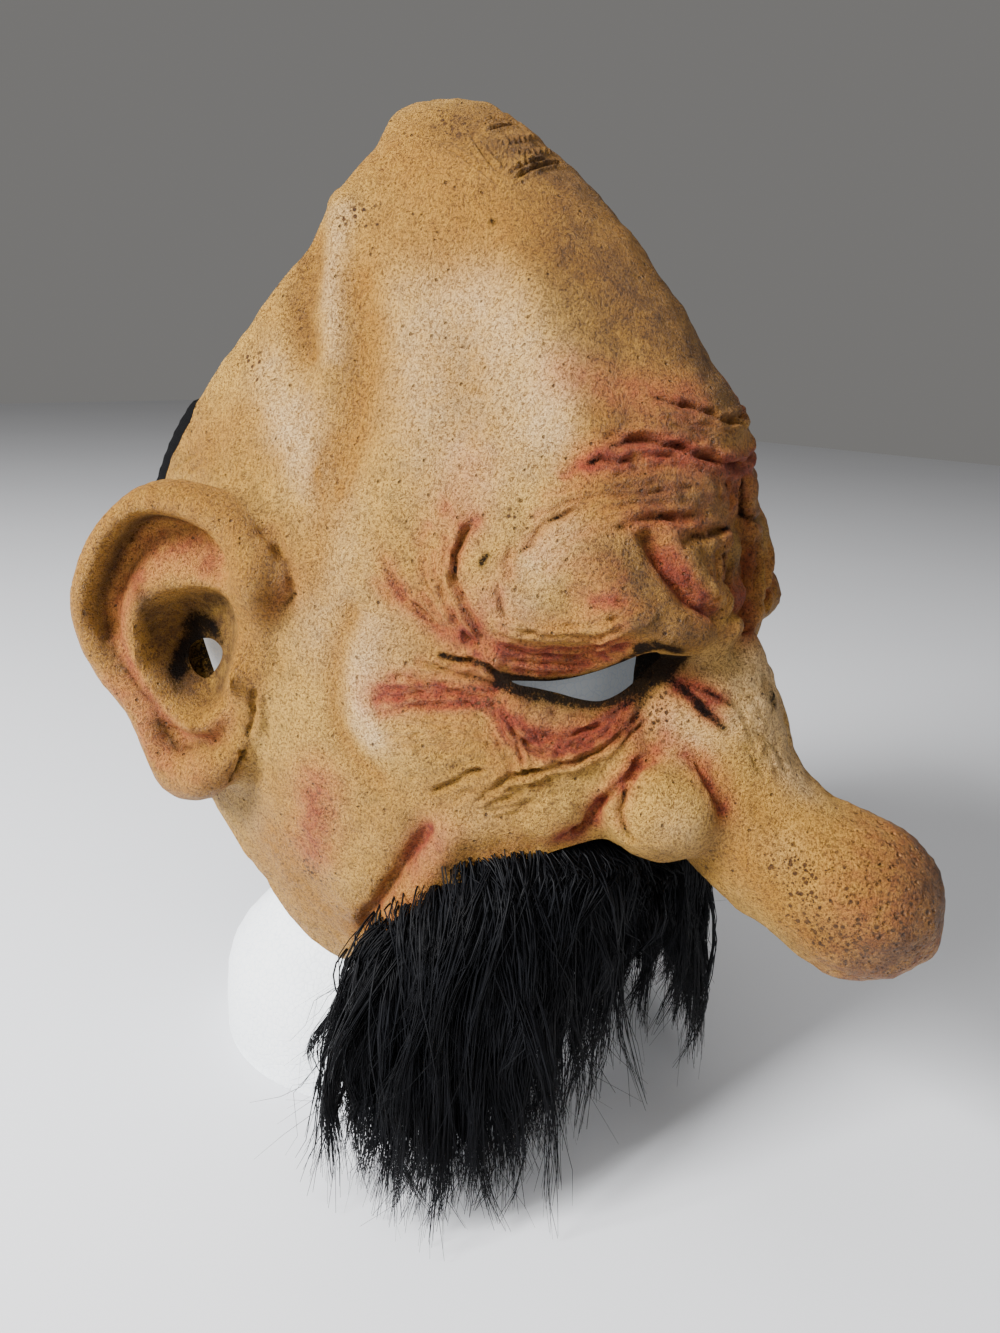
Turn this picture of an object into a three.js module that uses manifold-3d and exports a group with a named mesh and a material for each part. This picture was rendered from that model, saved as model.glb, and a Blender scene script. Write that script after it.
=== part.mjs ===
// Old man mask: a cast latex half mask with a drooping nose, big ears and a fur beard,
// worn by a foam display head that holds it upright.
// Millimetres, +Z up. The origin is the centre of the foam head's underside, the face looks
// along -Y and the wearer's right side is -X.
import * as THREE from 'three';
import { mergeVertices } from 'three/addons/utils/BufferGeometryUtils.js';
import Module from 'manifold-3d';

const wasm = await Module();
wasm.setup();

// Driving dimensions
const SKIN_WALL = 3;
const GAP = 0.5;
const CROWN_HEIGHT = 345.5;
const CHIN_HEIGHT = 36;
const CHEEK_HALF_WIDTH = 76;
const BROW_REACH = 136;
const NOSE_RADIUS = 24;
const EAR_FLARE = THREE.MathUtils.degToRad(24);
const EAR_FRONT = new THREE.Vector3(74, -22, 175);
const STRAP_WIDTH = 30;
const STRAP_THICKNESS = 1.6;
const STRAP_HEIGHT = 234;
const STRAP_CLEARANCE = 0.9;
const BASE_RADIUS = 62.5;
const BASE_HEIGHT = 18;
const NECK_RADIUS = 43;
const FOAM_HEIGHT = 281;
const FUR_THICKNESS = 9;
const FUR_LOWEST = 4;

// Closed bodies: every vertex of a closed geometry is moved by a function, then checked outward
function solid(geometry, place) {
  const bare = new THREE.BufferGeometry();
  bare.setAttribute('position', geometry.getAttribute('position').clone());
  bare.setIndex(geometry.getIndex());
  const merged = mergeVertices(bare, 1e-4);
  const positions = merged.getAttribute('position');
  const point = new THREE.Vector3();
  for (let i = 0; i < positions.count; i += 1) {
    const moved = place(point.fromBufferAttribute(positions, i));
    positions.setXYZ(i, moved.x, moved.y, moved.z);
  }
  const vertProperties = new Float32Array(positions.array);
  const triVerts = new Uint32Array(merged.getIndex().array);
  const made = new wasm.Manifold(new wasm.Mesh({ numProp: 3, vertProperties, triVerts }));
  if (made.volume() > 0) return made;
  for (let i = 0; i < triVerts.length; i += 3) {
    const first = triVerts[i];
    triVerts[i] = triVerts[i + 1];
    triVerts[i + 1] = first;
  }
  return new wasm.Manifold(new wasm.Mesh({ numProp: 3, vertProperties, triVerts }));
}

function meshOf(body, name, material) {
  const { vertProperties, triVerts } = body.getMesh();
  const geometry = new THREE.BufferGeometry();
  geometry.setAttribute('position', new THREE.BufferAttribute(vertProperties, 3));
  geometry.setIndex(new THREE.BufferAttribute(triVerts, 1));
  const flat = geometry.toNonIndexed();
  flat.computeVertexNormals();
  const mesh = new THREE.Mesh(flat, material);
  mesh.name = name;
  return mesh;
}

// A smooth line through stations of [position, value], read anywhere between them
function profile(stations) {
  const curve = new THREE.SplineCurve(stations.map(([at, value]) => new THREE.Vector2(at, value)));
  const samples = curve.getPoints(stations.length * 12);
  return (at) => {
    const last = samples.length - 1;
    let i = 1;
    while (i < last && samples[i].x < at) i += 1;
    const before = samples[i - 1];
    const after = samples[i];
    const share = THREE.MathUtils.clamp((at - before.x) / (after.x - before.x || 1), 0, 1);
    return before.y + (after.y - before.y) * share;
  };
}

// A closed round body along a curve in a plane: radius(share of the length) may differ in the
// plane and across it, and both ends are rounded over the given share of the length. The body
// ends at the share of the curve that reach gives.
function sweep({ line, across, radius, widen = () => 1, cap, reach = 1, around, rows }) {
  const dome = (share) => Math.sqrt(Math.max(0, 1 - (1 - Math.min(1, share / cap)) ** 2));
  return solid(new THREE.SphereGeometry(1, around, rows), ({ x, y, z }) => {
    const share = (1 - y) / 2;
    const at = share * reach;
    const centre = line.getPointAt(at);
    const inPlane = new THREE.Vector3().crossVectors(across, line.getTangentAt(at)).normalize();
    const turn = Math.atan2(x, z);
    const thick = Math.hypot(x, z) < 1e-6 ? 0 : radius(at) * dome(share) * dome(1 - share);
    centre.addScaledVector(inPlane, thick * Math.cos(turn));
    return centre.addScaledVector(across, thick * widen(at) * Math.sin(turn));
  });
}

function ball(centre, radii, around = 20, rows = 14) {
  return solid(new THREE.SphereGeometry(1, around, rows), ({ x, y, z }) => (
    new THREE.Vector3(centre[0] + radii[0] * x, centre[1] + radii[1] * y, centre[2] + radii[2] * z)
  ));
}

// A slab across the whole head, cut to an outline drawn in side view as [forward, height]
function sideSlab(outline, halfWidth = 130) {
  const shape = new THREE.Shape(outline.map(([forward, height]) => new THREE.Vector2(forward, height)));
  const slab = new THREE.ExtrudeGeometry(shape, { depth: 2 * halfWidth, bevelEnabled: false });
  return solid(slab, ({ x, y, z }) => new THREE.Vector3(z - halfWidth, -x, y));
}

// The face: how far it reaches forward, and how wide it is to each side, at each height
const faceReach = profile([
  [CHIN_HEIGHT, 40], [44, 82], [60, 106], [80, 119], [105, 126], [130, 128], [160, 129],
  [195, 132], [225, BROW_REACH], [240, 134], [255, 129], [270, 120], [285, 109], [300, 96],
  [313, 83], [324, 70], [334, 56], [341, 44], [344.5, 36], [CROWN_HEIGHT, 26],
]);
const faceHalfWidth = profile([
  [CHIN_HEIGHT, 0], [44, 40], [60, 57], [80, 64], [105, 71], [130, 75], [160, CHEEK_HALF_WIDTH],
  [195, CHEEK_HALF_WIDTH], [225, 74], [240, 71], [255, 66], [270, 60], [285, 54], [300, 47],
  [313, 39], [324, 31], [334, 23], [341, 14], [344.5, 7], [CROWN_HEIGHT, 0],
]);
const CROWN_FORWARD = 26;
const CROWN_STARTS = 285;
const REAR_DEPTH = 105;

// Rounded lumps and hollows, the same on both sides: centre, spread and height
const LUMPS = [
  { at: [30, -124, 209], spread: [24, 36, 19], rise: 9.5 },
  { at: [27, -133, 198], spread: [12, 16, 9], rise: 10 },
  { at: [0, -140, 222], spread: [7, 20, 24], rise: -4 },
  { at: [36, -108, 183], spread: [21, 22, 11], rise: -9 },
  { at: [46, -92, 152], spread: [24, 30, 18], rise: 4 },
  { at: [52, -56, 270], spread: [16, 18, 38], rise: -5 },
  { at: [58, -60, 88], spread: [16, 20, 18], rise: 4 },
];

function lumpRise(point) {
  let rise = 0;
  for (const { at, spread, rise: amount } of LUMPS) {
    const dx = (Math.abs(point.x) - at[0]) / spread[0];
    const dy = (point.y - at[1]) / spread[1];
    const dz = (point.z - at[2]) / spread[2];
    rise += amount * Math.exp(-(dx * dx + dy * dy + dz * dz));
  }
  return rise;
}

// One point of the face form: heading is 0 in front and a quarter turn at the ears
function facePoint(height, heading, wall) {
  const middle = CROWN_FORWARD * THREE.MathUtils.smoothstep(height, CROWN_STARTS, CROWN_HEIGHT);
  const half = faceHalfWidth(height);
  const forward = Math.cos(heading);
  const depth = forward > 0 ? faceReach(height) - middle : Math.min(half * 1.5, REAR_DEPTH);
  const side = Math.sin(heading);
  const point = new THREE.Vector3(half * side, -(middle + depth * forward), height);
  const out = new THREE.Vector3(side * depth, -forward * half, 0).normalize();
  const fade = Math.min(1, half / 20);
  return point.addScaledVector(out, (lumpRise(point) - wall) * fade);
}

function faceForm(wall, around, rows) {
  const low = CHIN_HEIGHT + wall;
  const high = CROWN_HEIGHT - wall;
  return solid(new THREE.SphereGeometry(1, around, rows), ({ x, y, z }) => {
    const polar = Math.acos(THREE.MathUtils.clamp(y, -1, 1)) / Math.PI;
    return facePoint(high - (high - low) * polar ** 1.15, Math.atan2(x, z), wall);
  });
}

// The cut edge of the latex in side view: up behind the ear to the crown, and the mouth arch
const REAR_EDGE = [
  [44, 63], [34, 64], [25, 69], [14, 79], [6, 92], [-3, 104], [-13, 118], [-28, 140], [-37, 165],
  [-40, 190], [-38, 212], [-32, 229], [-24, 243], [-17, 257], [-9, 269], [1, 283], [9, 297],
  [15, 313], [18, 328], [17, 360],
];
const MOUTH_ARCH = [
  [160, 100], [132, 124], [124, 129], [115, 131], [98, 123], [89, 116], [78, 107], [71, 98], [62, 88],
];

function latexRegion(lift = 0) {
  const outline = [...REAR_EDGE, [160, 360], ...MOUTH_ARCH];
  return sideSlab(outline.map(([forward, height]) => [forward, height + lift]));
}

// The nose: a drooping sausage with a round end, hollow like the rest of the cast
const NOSE_LINE = new THREE.CatmullRomCurve3([
  new THREE.Vector3(0, -94, 216),
  new THREE.Vector3(0, -110, 198),
  new THREE.Vector3(0, -123, 177),
  new THREE.Vector3(0, -133, 158),
  new THREE.Vector3(0, -144, 143),
  new THREE.Vector3(0, -159, 132),
  new THREE.Vector3(0, -173, 127),
  new THREE.Vector3(0, -190, 121.5),
  new THREE.Vector3(0, -210, 118),
]);
const noseThickness = profile([
  [0, 16], [0.14, 24], [0.29, 27.5], [0.42, 27], [0.53, 25], [0.66, NOSE_RADIUS - 0.8],
  [0.76, NOSE_RADIUS - 0.6], [0.86, NOSE_RADIUS], [1, NOSE_RADIUS],
]);
const SIDEWAYS = new THREE.Vector3(1, 0, 0);

function nose(wall, around, rows) {
  return sweep({
    line: NOSE_LINE,
    across: SIDEWAYS,
    radius: (share) => noseThickness(share) - wall,
    widen: (share) => 0.86 + 0.14 * share,
    cap: 0.16,
    reach: 1 - Math.max(0, wall) / NOSE_LINE.getLength(),
    around,
    rows,
  });
}

function nostrilWing(side) {
  return ball([side * 25, -132, 146], [17, 19, 18], 12, 8);
}

// Ears, drawn in their own plane as [backward, up] from where they leave the cheek
function earFrame(side) {
  const back = new THREE.Vector3(side * Math.sin(EAR_FLARE), Math.cos(EAR_FLARE), 0);
  const out = new THREE.Vector3(side * Math.cos(EAR_FLARE), -Math.sin(EAR_FLARE), 0);
  const root = new THREE.Vector3(side * EAR_FRONT.x, EAR_FRONT.y, EAR_FRONT.z);
  const place = (backward, up, outward = 0) => (
    root.clone().addScaledVector(back, backward).addScaledVector(out, outward).setZ(root.z + up)
  );
  return { out, place };
}

const HELIX = [
  [8, 12], [3, 22], [3, 34], [10, 43], [24, 49], [36, 49], [47, 44], [56, 34], [61, 19],
  [59, 3], [53, -10], [45, -22], [40, -34], [36, -42], [27, -45], [18, -41], [12, -30],
];
const ANTIHELIX = [
  [12, 25], [24, 26], [36, 23], [45, 13], [48, 1], [45, -9], [38, -16], [33, -22], [25, -25], [17, -20],
  [11, -9], [11, 3],
];
const EAR_SHEET = [
  [4, 14], [2, 30], [10, 44], [24, 50], [36, 50], [48, 44], [57, 34], [62, 19], [60, 3], [54, -11],
  [46, -22], [41, -34], [36, -44], [27, -47], [16, -42], [6, -24],
];

function earSheet(frame) {
  const corners = [...EAR_SHEET, EAR_SHEET[0]].map(([u, v]) => new THREE.Vector2(u, v));
  const shape = new THREE.Shape(new THREE.SplineCurve(corners).getPoints(22).slice(0, -1));
  const sheet = new THREE.ExtrudeGeometry(shape, { depth: 4, bevelEnabled: false });
  return solid(sheet, ({ x, y, z }) => frame.place(x, y, z - 4));
}

function earRidge(frame, points, lift, radius, rows) {
  const line = new THREE.CatmullRomCurve3(points.map(([u, v]) => frame.place(u, v, lift)));
  return sweep({ line, across: frame.out, radius, cap: 0.04, around: 6, rows });
}

function earBowl(frame, lift, radii) {
  return solid(new THREE.SphereGeometry(1, 12, 7), ({ x, y, z }) => (
    frame.place(25 + radii[0] * x, 2 + radii[1] * y, lift + radii[2] * z)
  ));
}

function ear(side) {
  const frame = earFrame(side);
  const helixRadius = profile([[0, 8], [0.2, 8], [0.4, 6.6], [0.7, 5.4], [0.85, 6.6], [1, 5]]);
  return earSheet(frame)
    .add(earRidge(frame, HELIX, 1.5, helixRadius, 22))
    .add(earRidge(frame, ANTIHELIX, 0.5, () => 4.6, 14))
    .add(earBowl(frame, -7, [22, 26, 12]))
    .subtract(earBowl(frame, 2, [16.5, 19, 10.5]));
}

// The hole through the ear into the mask runs straight inward
function canal(side) {
  const mouth = earFrame(side).place(22, 1);
  return solid(new THREE.CylinderGeometry(1, 1, 50, 12), ({ x, y, z }) => (
    new THREE.Vector3(mouth.x + y, mouth.y + 5 * x, mouth.z + 6 * z)
  ));
}

// Eye holes: narrow slanted slits under the hooded brows, cut straight back
function eyeSlit(side) {
  const shape = new THREE.Shape();
  shape.moveTo(-17, -4);
  shape.quadraticCurveTo(-3, 9, 16, 7);
  shape.quadraticCurveTo(8, -9, -17, -4);
  const slit = new THREE.ExtrudeGeometry(shape, { depth: 60, bevelEnabled: false, curveSegments: 8 });
  const inward = new THREE.Vector3(-side * 0.82, -0.57, 0);
  const forward = new THREE.Vector3(side * 0.57, -0.82, 0);
  const centre = new THREE.Vector3(side * 38, -110, 181);
  return solid(slit, ({ x, y, z }) => (
    centre.clone().addScaledVector(inward, x).addScaledVector(forward, z - 35).setZ(centre.z + y)
  ));
}

function maskSkin() {
  let body = faceForm(0, 48, 34).intersect(latexRegion()).add(nose(0, 18, 19));
  for (const side of [-1, 1]) body = body.add(nostrilWing(side)).add(ear(side));
  body = body.subtract(faceForm(SKIN_WALL, 28, 22)).subtract(nose(SKIN_WALL, 12, 11));
  for (const side of [-1, 1]) body = body.subtract(canal(side)).subtract(eyeSlit(side));
  return body;
}

// The foam head: a flared round base, a neck and a plain face, in one moulding
const HEAD_MIDDLE = 195;
const dome = (height) => (
  Math.sqrt(Math.max(0, 1 - (Math.max(0, height - HEAD_MIDDLE) / (FOAM_HEIGHT - HEAD_MIDDLE)) ** 2))
);
const BASE_PROFILE = [
  [0, BASE_RADIUS], [BASE_HEIGHT, BASE_RADIUS], [32, 60], [43, 53], [54, NECK_RADIUS],
];
const foamFront = profile([
  ...BASE_PROFILE, [74, 43], [92, 58], [104, 84], [120, 96], [150, 101], [HEAD_MIDDLE, 103],
  [FOAM_HEIGHT, 103],
]);
const foamHalfWidth = profile([
  ...BASE_PROFILE, [74, 42], [92, 44], [104, 50], [120, 55], [150, 61], [HEAD_MIDDLE, 67],
  [FOAM_HEIGHT, 67],
]);
const foamBack = profile([
  ...BASE_PROFILE, [74, 44], [100, 50], [130, 66], [160, 82], [HEAD_MIDDLE, 92], [FOAM_HEIGHT, 92],
]);

// One point on the foam at a height: heading is 0 in front, and clear is how far it stands off
function foamPoint(height, heading, clear = 0) {
  const depth = Math.cos(heading) > 0 ? foamFront(height) : foamBack(height);
  const size = dome(height);
  return new THREE.Vector3(
    (foamHalfWidth(height) * size + clear) * Math.sin(heading),
    -(depth * size + clear) * Math.cos(heading),
    height,
  );
}

function foamHead() {
  const column = new THREE.CylinderGeometry(1, 1, 1, 28, 24);
  const topRing = 0.997;
  return solid(column, ({ x, y, z }) => {
    const share = y + 0.5;
    const centred = Math.hypot(x, z) < 1e-6;
    if (centred) return new THREE.Vector3(0, 0, share > 0.5 ? FOAM_HEIGHT : 0);
    return foamPoint(FOAM_HEIGHT * topRing * Math.sin((Math.PI / 2) * share ** 1.05), Math.atan2(x, z));
  });
}

// The elastic band: a flat strip round the back of the foam head, from temple to temple
function headStrap() {
  const strip = new THREE.BoxGeometry(1, 1, 1, 32, 2, 1);
  const reach = 1.36;
  return solid(strip, ({ x, y, z }) => {
    const heading = Math.PI - 2 * x * reach;
    const level = STRAP_HEIGHT + STRAP_WIDTH * y;
    return foamPoint(level, heading, STRAP_CLEARANCE + STRAP_THICKNESS * (z + 0.5));
  });
}

// The fur: one strip hanging from the mouth edge, long at both jaws and short under the nose.
// It hangs a little unevenly, with the wearer's left side lower towards the front.
const FUR_LINE = new THREE.CatmullRomCurve3([
  new THREE.Vector3(-50, -48, 74),
  new THREE.Vector3(-55, -64, 98),
  new THREE.Vector3(-51, -80, 116),
  new THREE.Vector3(-42, -97, 128),
  new THREE.Vector3(-24, -112, 126),
  new THREE.Vector3(0, -117, 112),
  new THREE.Vector3(24, -112, 126),
  new THREE.Vector3(42, -97, 128),
  new THREE.Vector3(51, -80, 116),
  new THREE.Vector3(55, -64, 98),
  new THREE.Vector3(50, -48, 74),
]);
const furLow = profile([
  [0, 26], [0.08, 8], [0.15, FUR_LOWEST], [0.22, FUR_LOWEST], [0.28, 14], [0.34, 36], [0.42, 62],
  [0.5, 70], [0.56, 52], [0.61, 26], [0.67, 9], [0.75, FUR_LOWEST], [0.85, FUR_LOWEST], [0.92, 8],
  [1, 26],
]);
const furSpread = profile([
  [0, 27], [0.2, 25], [0.28, 20], [0.36, 12], [0.42, 8], [0.5, 6], [0.58, 13], [0.67, 25], [0.76, 27],
  [0.86, 25], [1, 27],
]);

function furBeard() {
  const curtain = new THREE.BoxGeometry(1, 1, 1, 26, 5, 1);
  const hung = solid(curtain, ({ x, y, z }) => {
    const share = x + 0.5;
    const top = FUR_LINE.getPointAt(share);
    const drop = 0.5 - y;
    const out = new THREE.Vector3(top.x, top.y + 30, 0).normalize();
    const lean = furSpread(share) * Math.sin(drop * Math.PI * 0.5);
    const half = FUR_THICKNESS * (0.5 + 0.25 * Math.sin(Math.PI * drop));
    const height = top.z - (top.z - furLow(share)) * drop;
    return top.addScaledVector(out, lean + 2 * half * z).setZ(height);
  });
  return hung.subtract(latexRegion(-GAP)).subtract(nose(-GAP, 12, 11));
}

const latex = new THREE.MeshStandardMaterial({ color: 0xc9a56d, roughness: 0.6, metalness: 0 });
const fur = new THREE.MeshStandardMaterial({ color: 0x0c0c0f, roughness: 0.7, metalness: 0 });
const elastic = new THREE.MeshStandardMaterial({ color: 0x141416, roughness: 0.85, metalness: 0 });
const foam = new THREE.MeshStandardMaterial({ color: 0xf1f3f4, roughness: 0.8, metalness: 0 });

const oldManMask = new THREE.Group();
oldManMask.add(meshOf(maskSkin(), 'mask_skin', latex));
oldManMask.add(meshOf(furBeard(), 'fur_beard', fur));
oldManMask.add(meshOf(headStrap(), 'head_strap', elastic));
oldManMask.add(meshOf(foamHead(), 'foam_head', foam));

export default oldManMask;
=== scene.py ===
import math
import random

import bmesh
import bpy
import numpy as np
from mathutils import Matrix, Vector
from mathutils.bvhtree import BVHTree


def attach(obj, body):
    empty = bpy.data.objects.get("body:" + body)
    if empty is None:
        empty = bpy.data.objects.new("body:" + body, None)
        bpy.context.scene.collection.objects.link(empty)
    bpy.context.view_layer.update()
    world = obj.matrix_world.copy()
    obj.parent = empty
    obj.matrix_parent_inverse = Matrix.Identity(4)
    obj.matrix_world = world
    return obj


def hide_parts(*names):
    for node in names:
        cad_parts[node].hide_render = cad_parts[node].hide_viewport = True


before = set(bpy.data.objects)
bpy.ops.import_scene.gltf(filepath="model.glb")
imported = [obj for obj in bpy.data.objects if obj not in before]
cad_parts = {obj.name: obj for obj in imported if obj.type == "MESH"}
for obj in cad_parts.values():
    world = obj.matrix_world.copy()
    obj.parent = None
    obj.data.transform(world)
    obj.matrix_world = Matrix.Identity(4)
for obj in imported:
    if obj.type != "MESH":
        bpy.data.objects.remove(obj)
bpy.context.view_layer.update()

# Lengths in this script are millimetres until a mesh is written, which turns them into metres
MM = 0.001
SIDES = (-1, 1)
dice = random.Random(34)

# Camera, where the photograph was taken from
CAMERA_AT = np.array([-278.6, -242.6, 274.1])
LOOK_HEADING = math.radians(34)
LOOK_DOWN = math.radians(18)
LOOK_ROLL = math.radians(3)
PHOTO_SIZE = (1000, 1333)
FOCAL_PIXELS = 1000


def object_of(name, data):
    """A new object in the scene."""
    made = bpy.data.objects.new(name, data)
    bpy.context.scene.collection.objects.link(made)
    return made


def camera_axes():
    """The camera's right, up and forward directions in the part's frame."""
    ahead = np.array([math.cos(LOOK_HEADING), math.sin(LOOK_HEADING), 0])
    level_right = np.array([math.sin(LOOK_HEADING), -math.cos(LOOK_HEADING), 0])
    upward = np.array([0, 0, 1])
    forward = ahead * math.cos(LOOK_DOWN) - upward * math.sin(LOOK_DOWN)
    level_up = ahead * math.sin(LOOK_DOWN) + upward * math.cos(LOOK_DOWN)
    right = level_right * math.cos(LOOK_ROLL) + level_up * math.sin(LOOK_ROLL)
    return right, np.cross(right, forward), forward


CAMERA_RIGHT, CAMERA_UP, CAMERA_FORWARD = camera_axes()


def photo_ray(px, py):
    """The line of sight through a pixel, one unit deep."""
    across = (px - PHOTO_SIZE[0] / 2) / FOCAL_PIXELS
    down = (py - PHOTO_SIZE[1] / 2) / FOCAL_PIXELS
    return CAMERA_FORWARD + CAMERA_RIGHT * across - CAMERA_UP * down


def make_camera():
    lens = bpy.data.cameras.new("camera")
    lens.sensor_width = 36
    lens.lens = lens.sensor_width * FOCAL_PIXELS / PHOTO_SIZE[1]
    lens.clip_start = 0.01
    eye = object_of("camera", lens)
    turn = Matrix([CAMERA_RIGHT, CAMERA_UP, -CAMERA_FORWARD]).transposed().to_4x4()
    eye.matrix_world = Matrix.Translation(CAMERA_AT * MM) @ turn
    bpy.context.scene.camera = eye


make_camera()


# Smooth lines and mesh helpers
def spline(points, steps=12, closed=False):
    """A smooth line through points; a closed one comes back to its start."""
    stations = np.array(points, float)
    count = len(stations)
    made = []
    for i in range(count if closed else count - 1):
        around = [stations[k % count] if closed else stations[min(max(k, 0), count - 1)]
                  for k in range(i - 1, i + 3)]
        leave = (around[2] - around[0]) / 2
        arrive = (around[3] - around[1]) / 2
        for k in range(steps):
            t = k / steps
            made.append((2 * around[1] - 2 * around[2] + leave + arrive) * t ** 3
                        + (-3 * around[1] + 3 * around[2] - 2 * leave - arrive) * t ** 2
                        + leave * t + around[1])
    if not closed:
        made.append(stations[-1])
    return np.array(made)


def profile(stations):
    """Reads a smooth line of (position, value) stations anywhere between them."""
    line = spline(stations)
    return lambda at: np.interp(at, line[:, 0], line[:, 1])


def smoothstep(at, low, high):
    """A soft rise from 0 at low to 1 at high."""
    share = np.clip((at - low) / (high - low), 0, 1)
    return share * share * (3 - 2 * share)


def bell(at, width, power=2):
    """1 at zero, and fading to nothing past the width."""
    return np.exp(-(at / width) ** power)


def hill(points, centre, spread):
    """1 at the centre, and fading to nothing past the spread."""
    return np.exp(-(((points - centre) / spread) ** 2).sum(1))


def unit(vectors):
    """Each vector at length 1."""
    return vectors / np.maximum(np.linalg.norm(vectors, axis=-1, keepdims=True), 1e-9)


def folded(points):
    """Both sides of the head laid on the left one."""
    return np.stack([np.abs(points[:, 0]), points[:, 1], points[:, 2]], 1)


def run_along(line):
    """How far along a line each of its points lies."""
    return np.concatenate([[0], np.cumsum(np.linalg.norm(np.diff(line, axis=0), axis=1))])


def read_along(at, stations, rows):
    """Rows of values, one for each station, read at any place between them."""
    return np.stack([np.interp(at, stations, column) for column in rows.T], -1)


def read_rows(items, field, width, kind):
    """One field of every vertex, normal or edge, as rows of numbers."""
    flat = np.empty(len(items) * width, kind)
    items.foreach_get(field, flat)
    return flat.reshape(-1, width)


def read_points(mesh):
    return read_rows(mesh.vertices, "co", 3, np.float32).astype(float) / MM


def read_normals(mesh):
    return read_rows(mesh.vertex_normals, "vector", 3, np.float32).astype(float)


def read_edges(mesh):
    return read_rows(mesh.edges, "vertices", 2, np.int32)


def write_points(mesh, points):
    mesh.vertices.foreach_set("co", (points * MM).astype(np.float32).ravel())
    mesh.update()


def store(mesh, name, values):
    """Keeps a value for each point, for the materials to read."""
    layer = mesh.attributes.get(name) or mesh.attributes.new(name, "FLOAT", "POINT")
    layer.data.foreach_set("value", np.asarray(values, np.float32))


def piece_of(form, name):
    """A bmesh form as an object in the scene."""
    mesh = bpy.data.meshes.new(name)
    form.to_mesh(mesh)
    form.free()
    return object_of(name, mesh)


def gathered(name, forms):
    """Several bmesh forms in one piece."""
    whole = bmesh.new()
    for form in forms:
        part = bpy.data.meshes.new("part")
        form.to_mesh(part)
        form.free()
        whole.from_mesh(part)
        bpy.data.meshes.remove(part)
    return piece_of(whole, name)


def applied(piece):
    """The piece, with its modifiers applied to its mesh."""
    graph = bpy.context.evaluated_depsgraph_get()
    graph.update()
    made = bpy.data.meshes.new_from_object(piece.evaluated_get(graph))
    old = piece.data
    piece.modifiers.clear()
    piece.data = made
    bpy.data.meshes.remove(old)
    return piece


def remeshed(piece, voxel):
    """One even skin over everything in a piece."""
    change = piece.modifiers.new("one skin", "REMESH")
    change.mode = "VOXEL"
    change.voxel_size = voxel * MM
    change.use_smooth_shade = True
    return applied(piece)


def keep_largest(piece):
    """Drops any loose crumbs that the cuts left."""
    form = bmesh.new()
    form.from_mesh(piece.data)
    unseen = set(form.verts)
    parts = []
    while unseen:
        part = [unseen.pop()]
        for vert in part:
            for edge in vert.link_edges:
                other = edge.other_vert(vert)
                if other in unseen:
                    unseen.remove(other)
                    part.append(other)
        parts.append(part)
    parts.sort(key=len)
    for part in parts[:-1]:
        bmesh.ops.delete(form, geom=part, context="VERTS")
    form.to_mesh(piece.data)
    form.free()


def cut_by(piece, cutter, operation="DIFFERENCE"):
    """Cuts a piece with another, which is used up."""
    change = piece.modifiers.new("cut", "BOOLEAN")
    change.operation = operation
    change.solver = "MANIFOLD"
    change.object = cutter
    applied(piece)
    discard(cutter)


def discard(piece):
    mesh = piece.data
    bpy.data.objects.remove(piece)
    bpy.data.meshes.remove(mesh)


def smooth_shaded(piece):
    piece.data.shade_smooth()
    piece.data.set_sharp_from_angle(angle=math.radians(50))


def blurred(points, edges, rounds, weight):
    """Evens out points towards their neighbours, each by its own weight."""
    count = len(points)
    ends = np.concatenate([edges[:, 0], edges[:, 1]])
    others = np.concatenate([edges[:, 1], edges[:, 0]])
    valence = np.maximum(np.bincount(ends, minlength=count), 1)[:, None]
    strength = np.broadcast_to(np.asarray(weight, float).reshape(-1, 1), (count, 1)) * 0.5
    for _ in range(rounds):
        middle = np.stack([np.bincount(ends, points[others, k], count) for k in range(3)], 1)
        points = points + strength * (middle / valence - points)
    return points


def tree_of(piece):
    form = bmesh.new()
    form.from_mesh(piece.data)
    tree = BVHTree.FromBMesh(form)
    form.free()
    return tree


def distance_to(tree, points):
    """Each point's distance from a surface."""
    return np.array([tree.find_nearest(Vector(p * MM))[3] for p in points]) / MM


def along_line(points, line):
    """Each point's distance from a polyline, and its place along it from 0 to 1."""
    lengths = np.linalg.norm(np.diff(line, axis=0), axis=1)
    starts = np.concatenate([[0], np.cumsum(lengths)])
    nearest = np.full(len(points), 1e9)
    place = np.zeros(len(points))
    for a, b, start, length in zip(line[:-1], line[1:], starts, lengths):
        if length < 1e-6:
            continue
        share = np.clip((points - a) @ (b - a) / length ** 2, 0, 1)
        gap = np.linalg.norm(points - a - share[:, None] * (b - a), axis=1)
        closer = gap < nearest
        nearest = np.where(closer, gap, nearest)
        place = np.where(closer, (start + share * length) / starts[-1], place)
    return nearest, place


def beside(points, line, margin):
    """The points in a line's neighbourhood, their distances from it and places along it."""
    low, high = line.min(0) - margin, line.max(0) + margin
    chosen = np.flatnonzero(((points > low) & (points < high)).all(1))
    return chosen, *along_line(points[chosen], line)


def end_fade(place, low, high):
    """Fades a line out towards both its ends."""
    return smoothstep(np.minimum(place, 1 - place), low, high)


def inside_loop(points, loop):
    """Which flat points lie inside a closed loop."""
    found = np.zeros(len(points), bool)
    x, y = points[:, 0], points[:, 1]
    for a, b in zip(loop, np.roll(loop, -1, axis=0)):
        crosses = (a[1] > y) != (b[1] > y)
        at = (b[0] - a[0]) * (y - a[1]) / (b[1] - a[1] + 1e-12) + a[0]
        found ^= crosses & (x < at)
    return found


def depth_in_loop(points, loop):
    """Distance inside a closed flat loop, and below zero outside it."""
    gap, _ = along_line(points, np.vstack([loop, loop[:1]]))
    return np.where(inside_loop(points, loop), gap, -gap)


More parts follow.
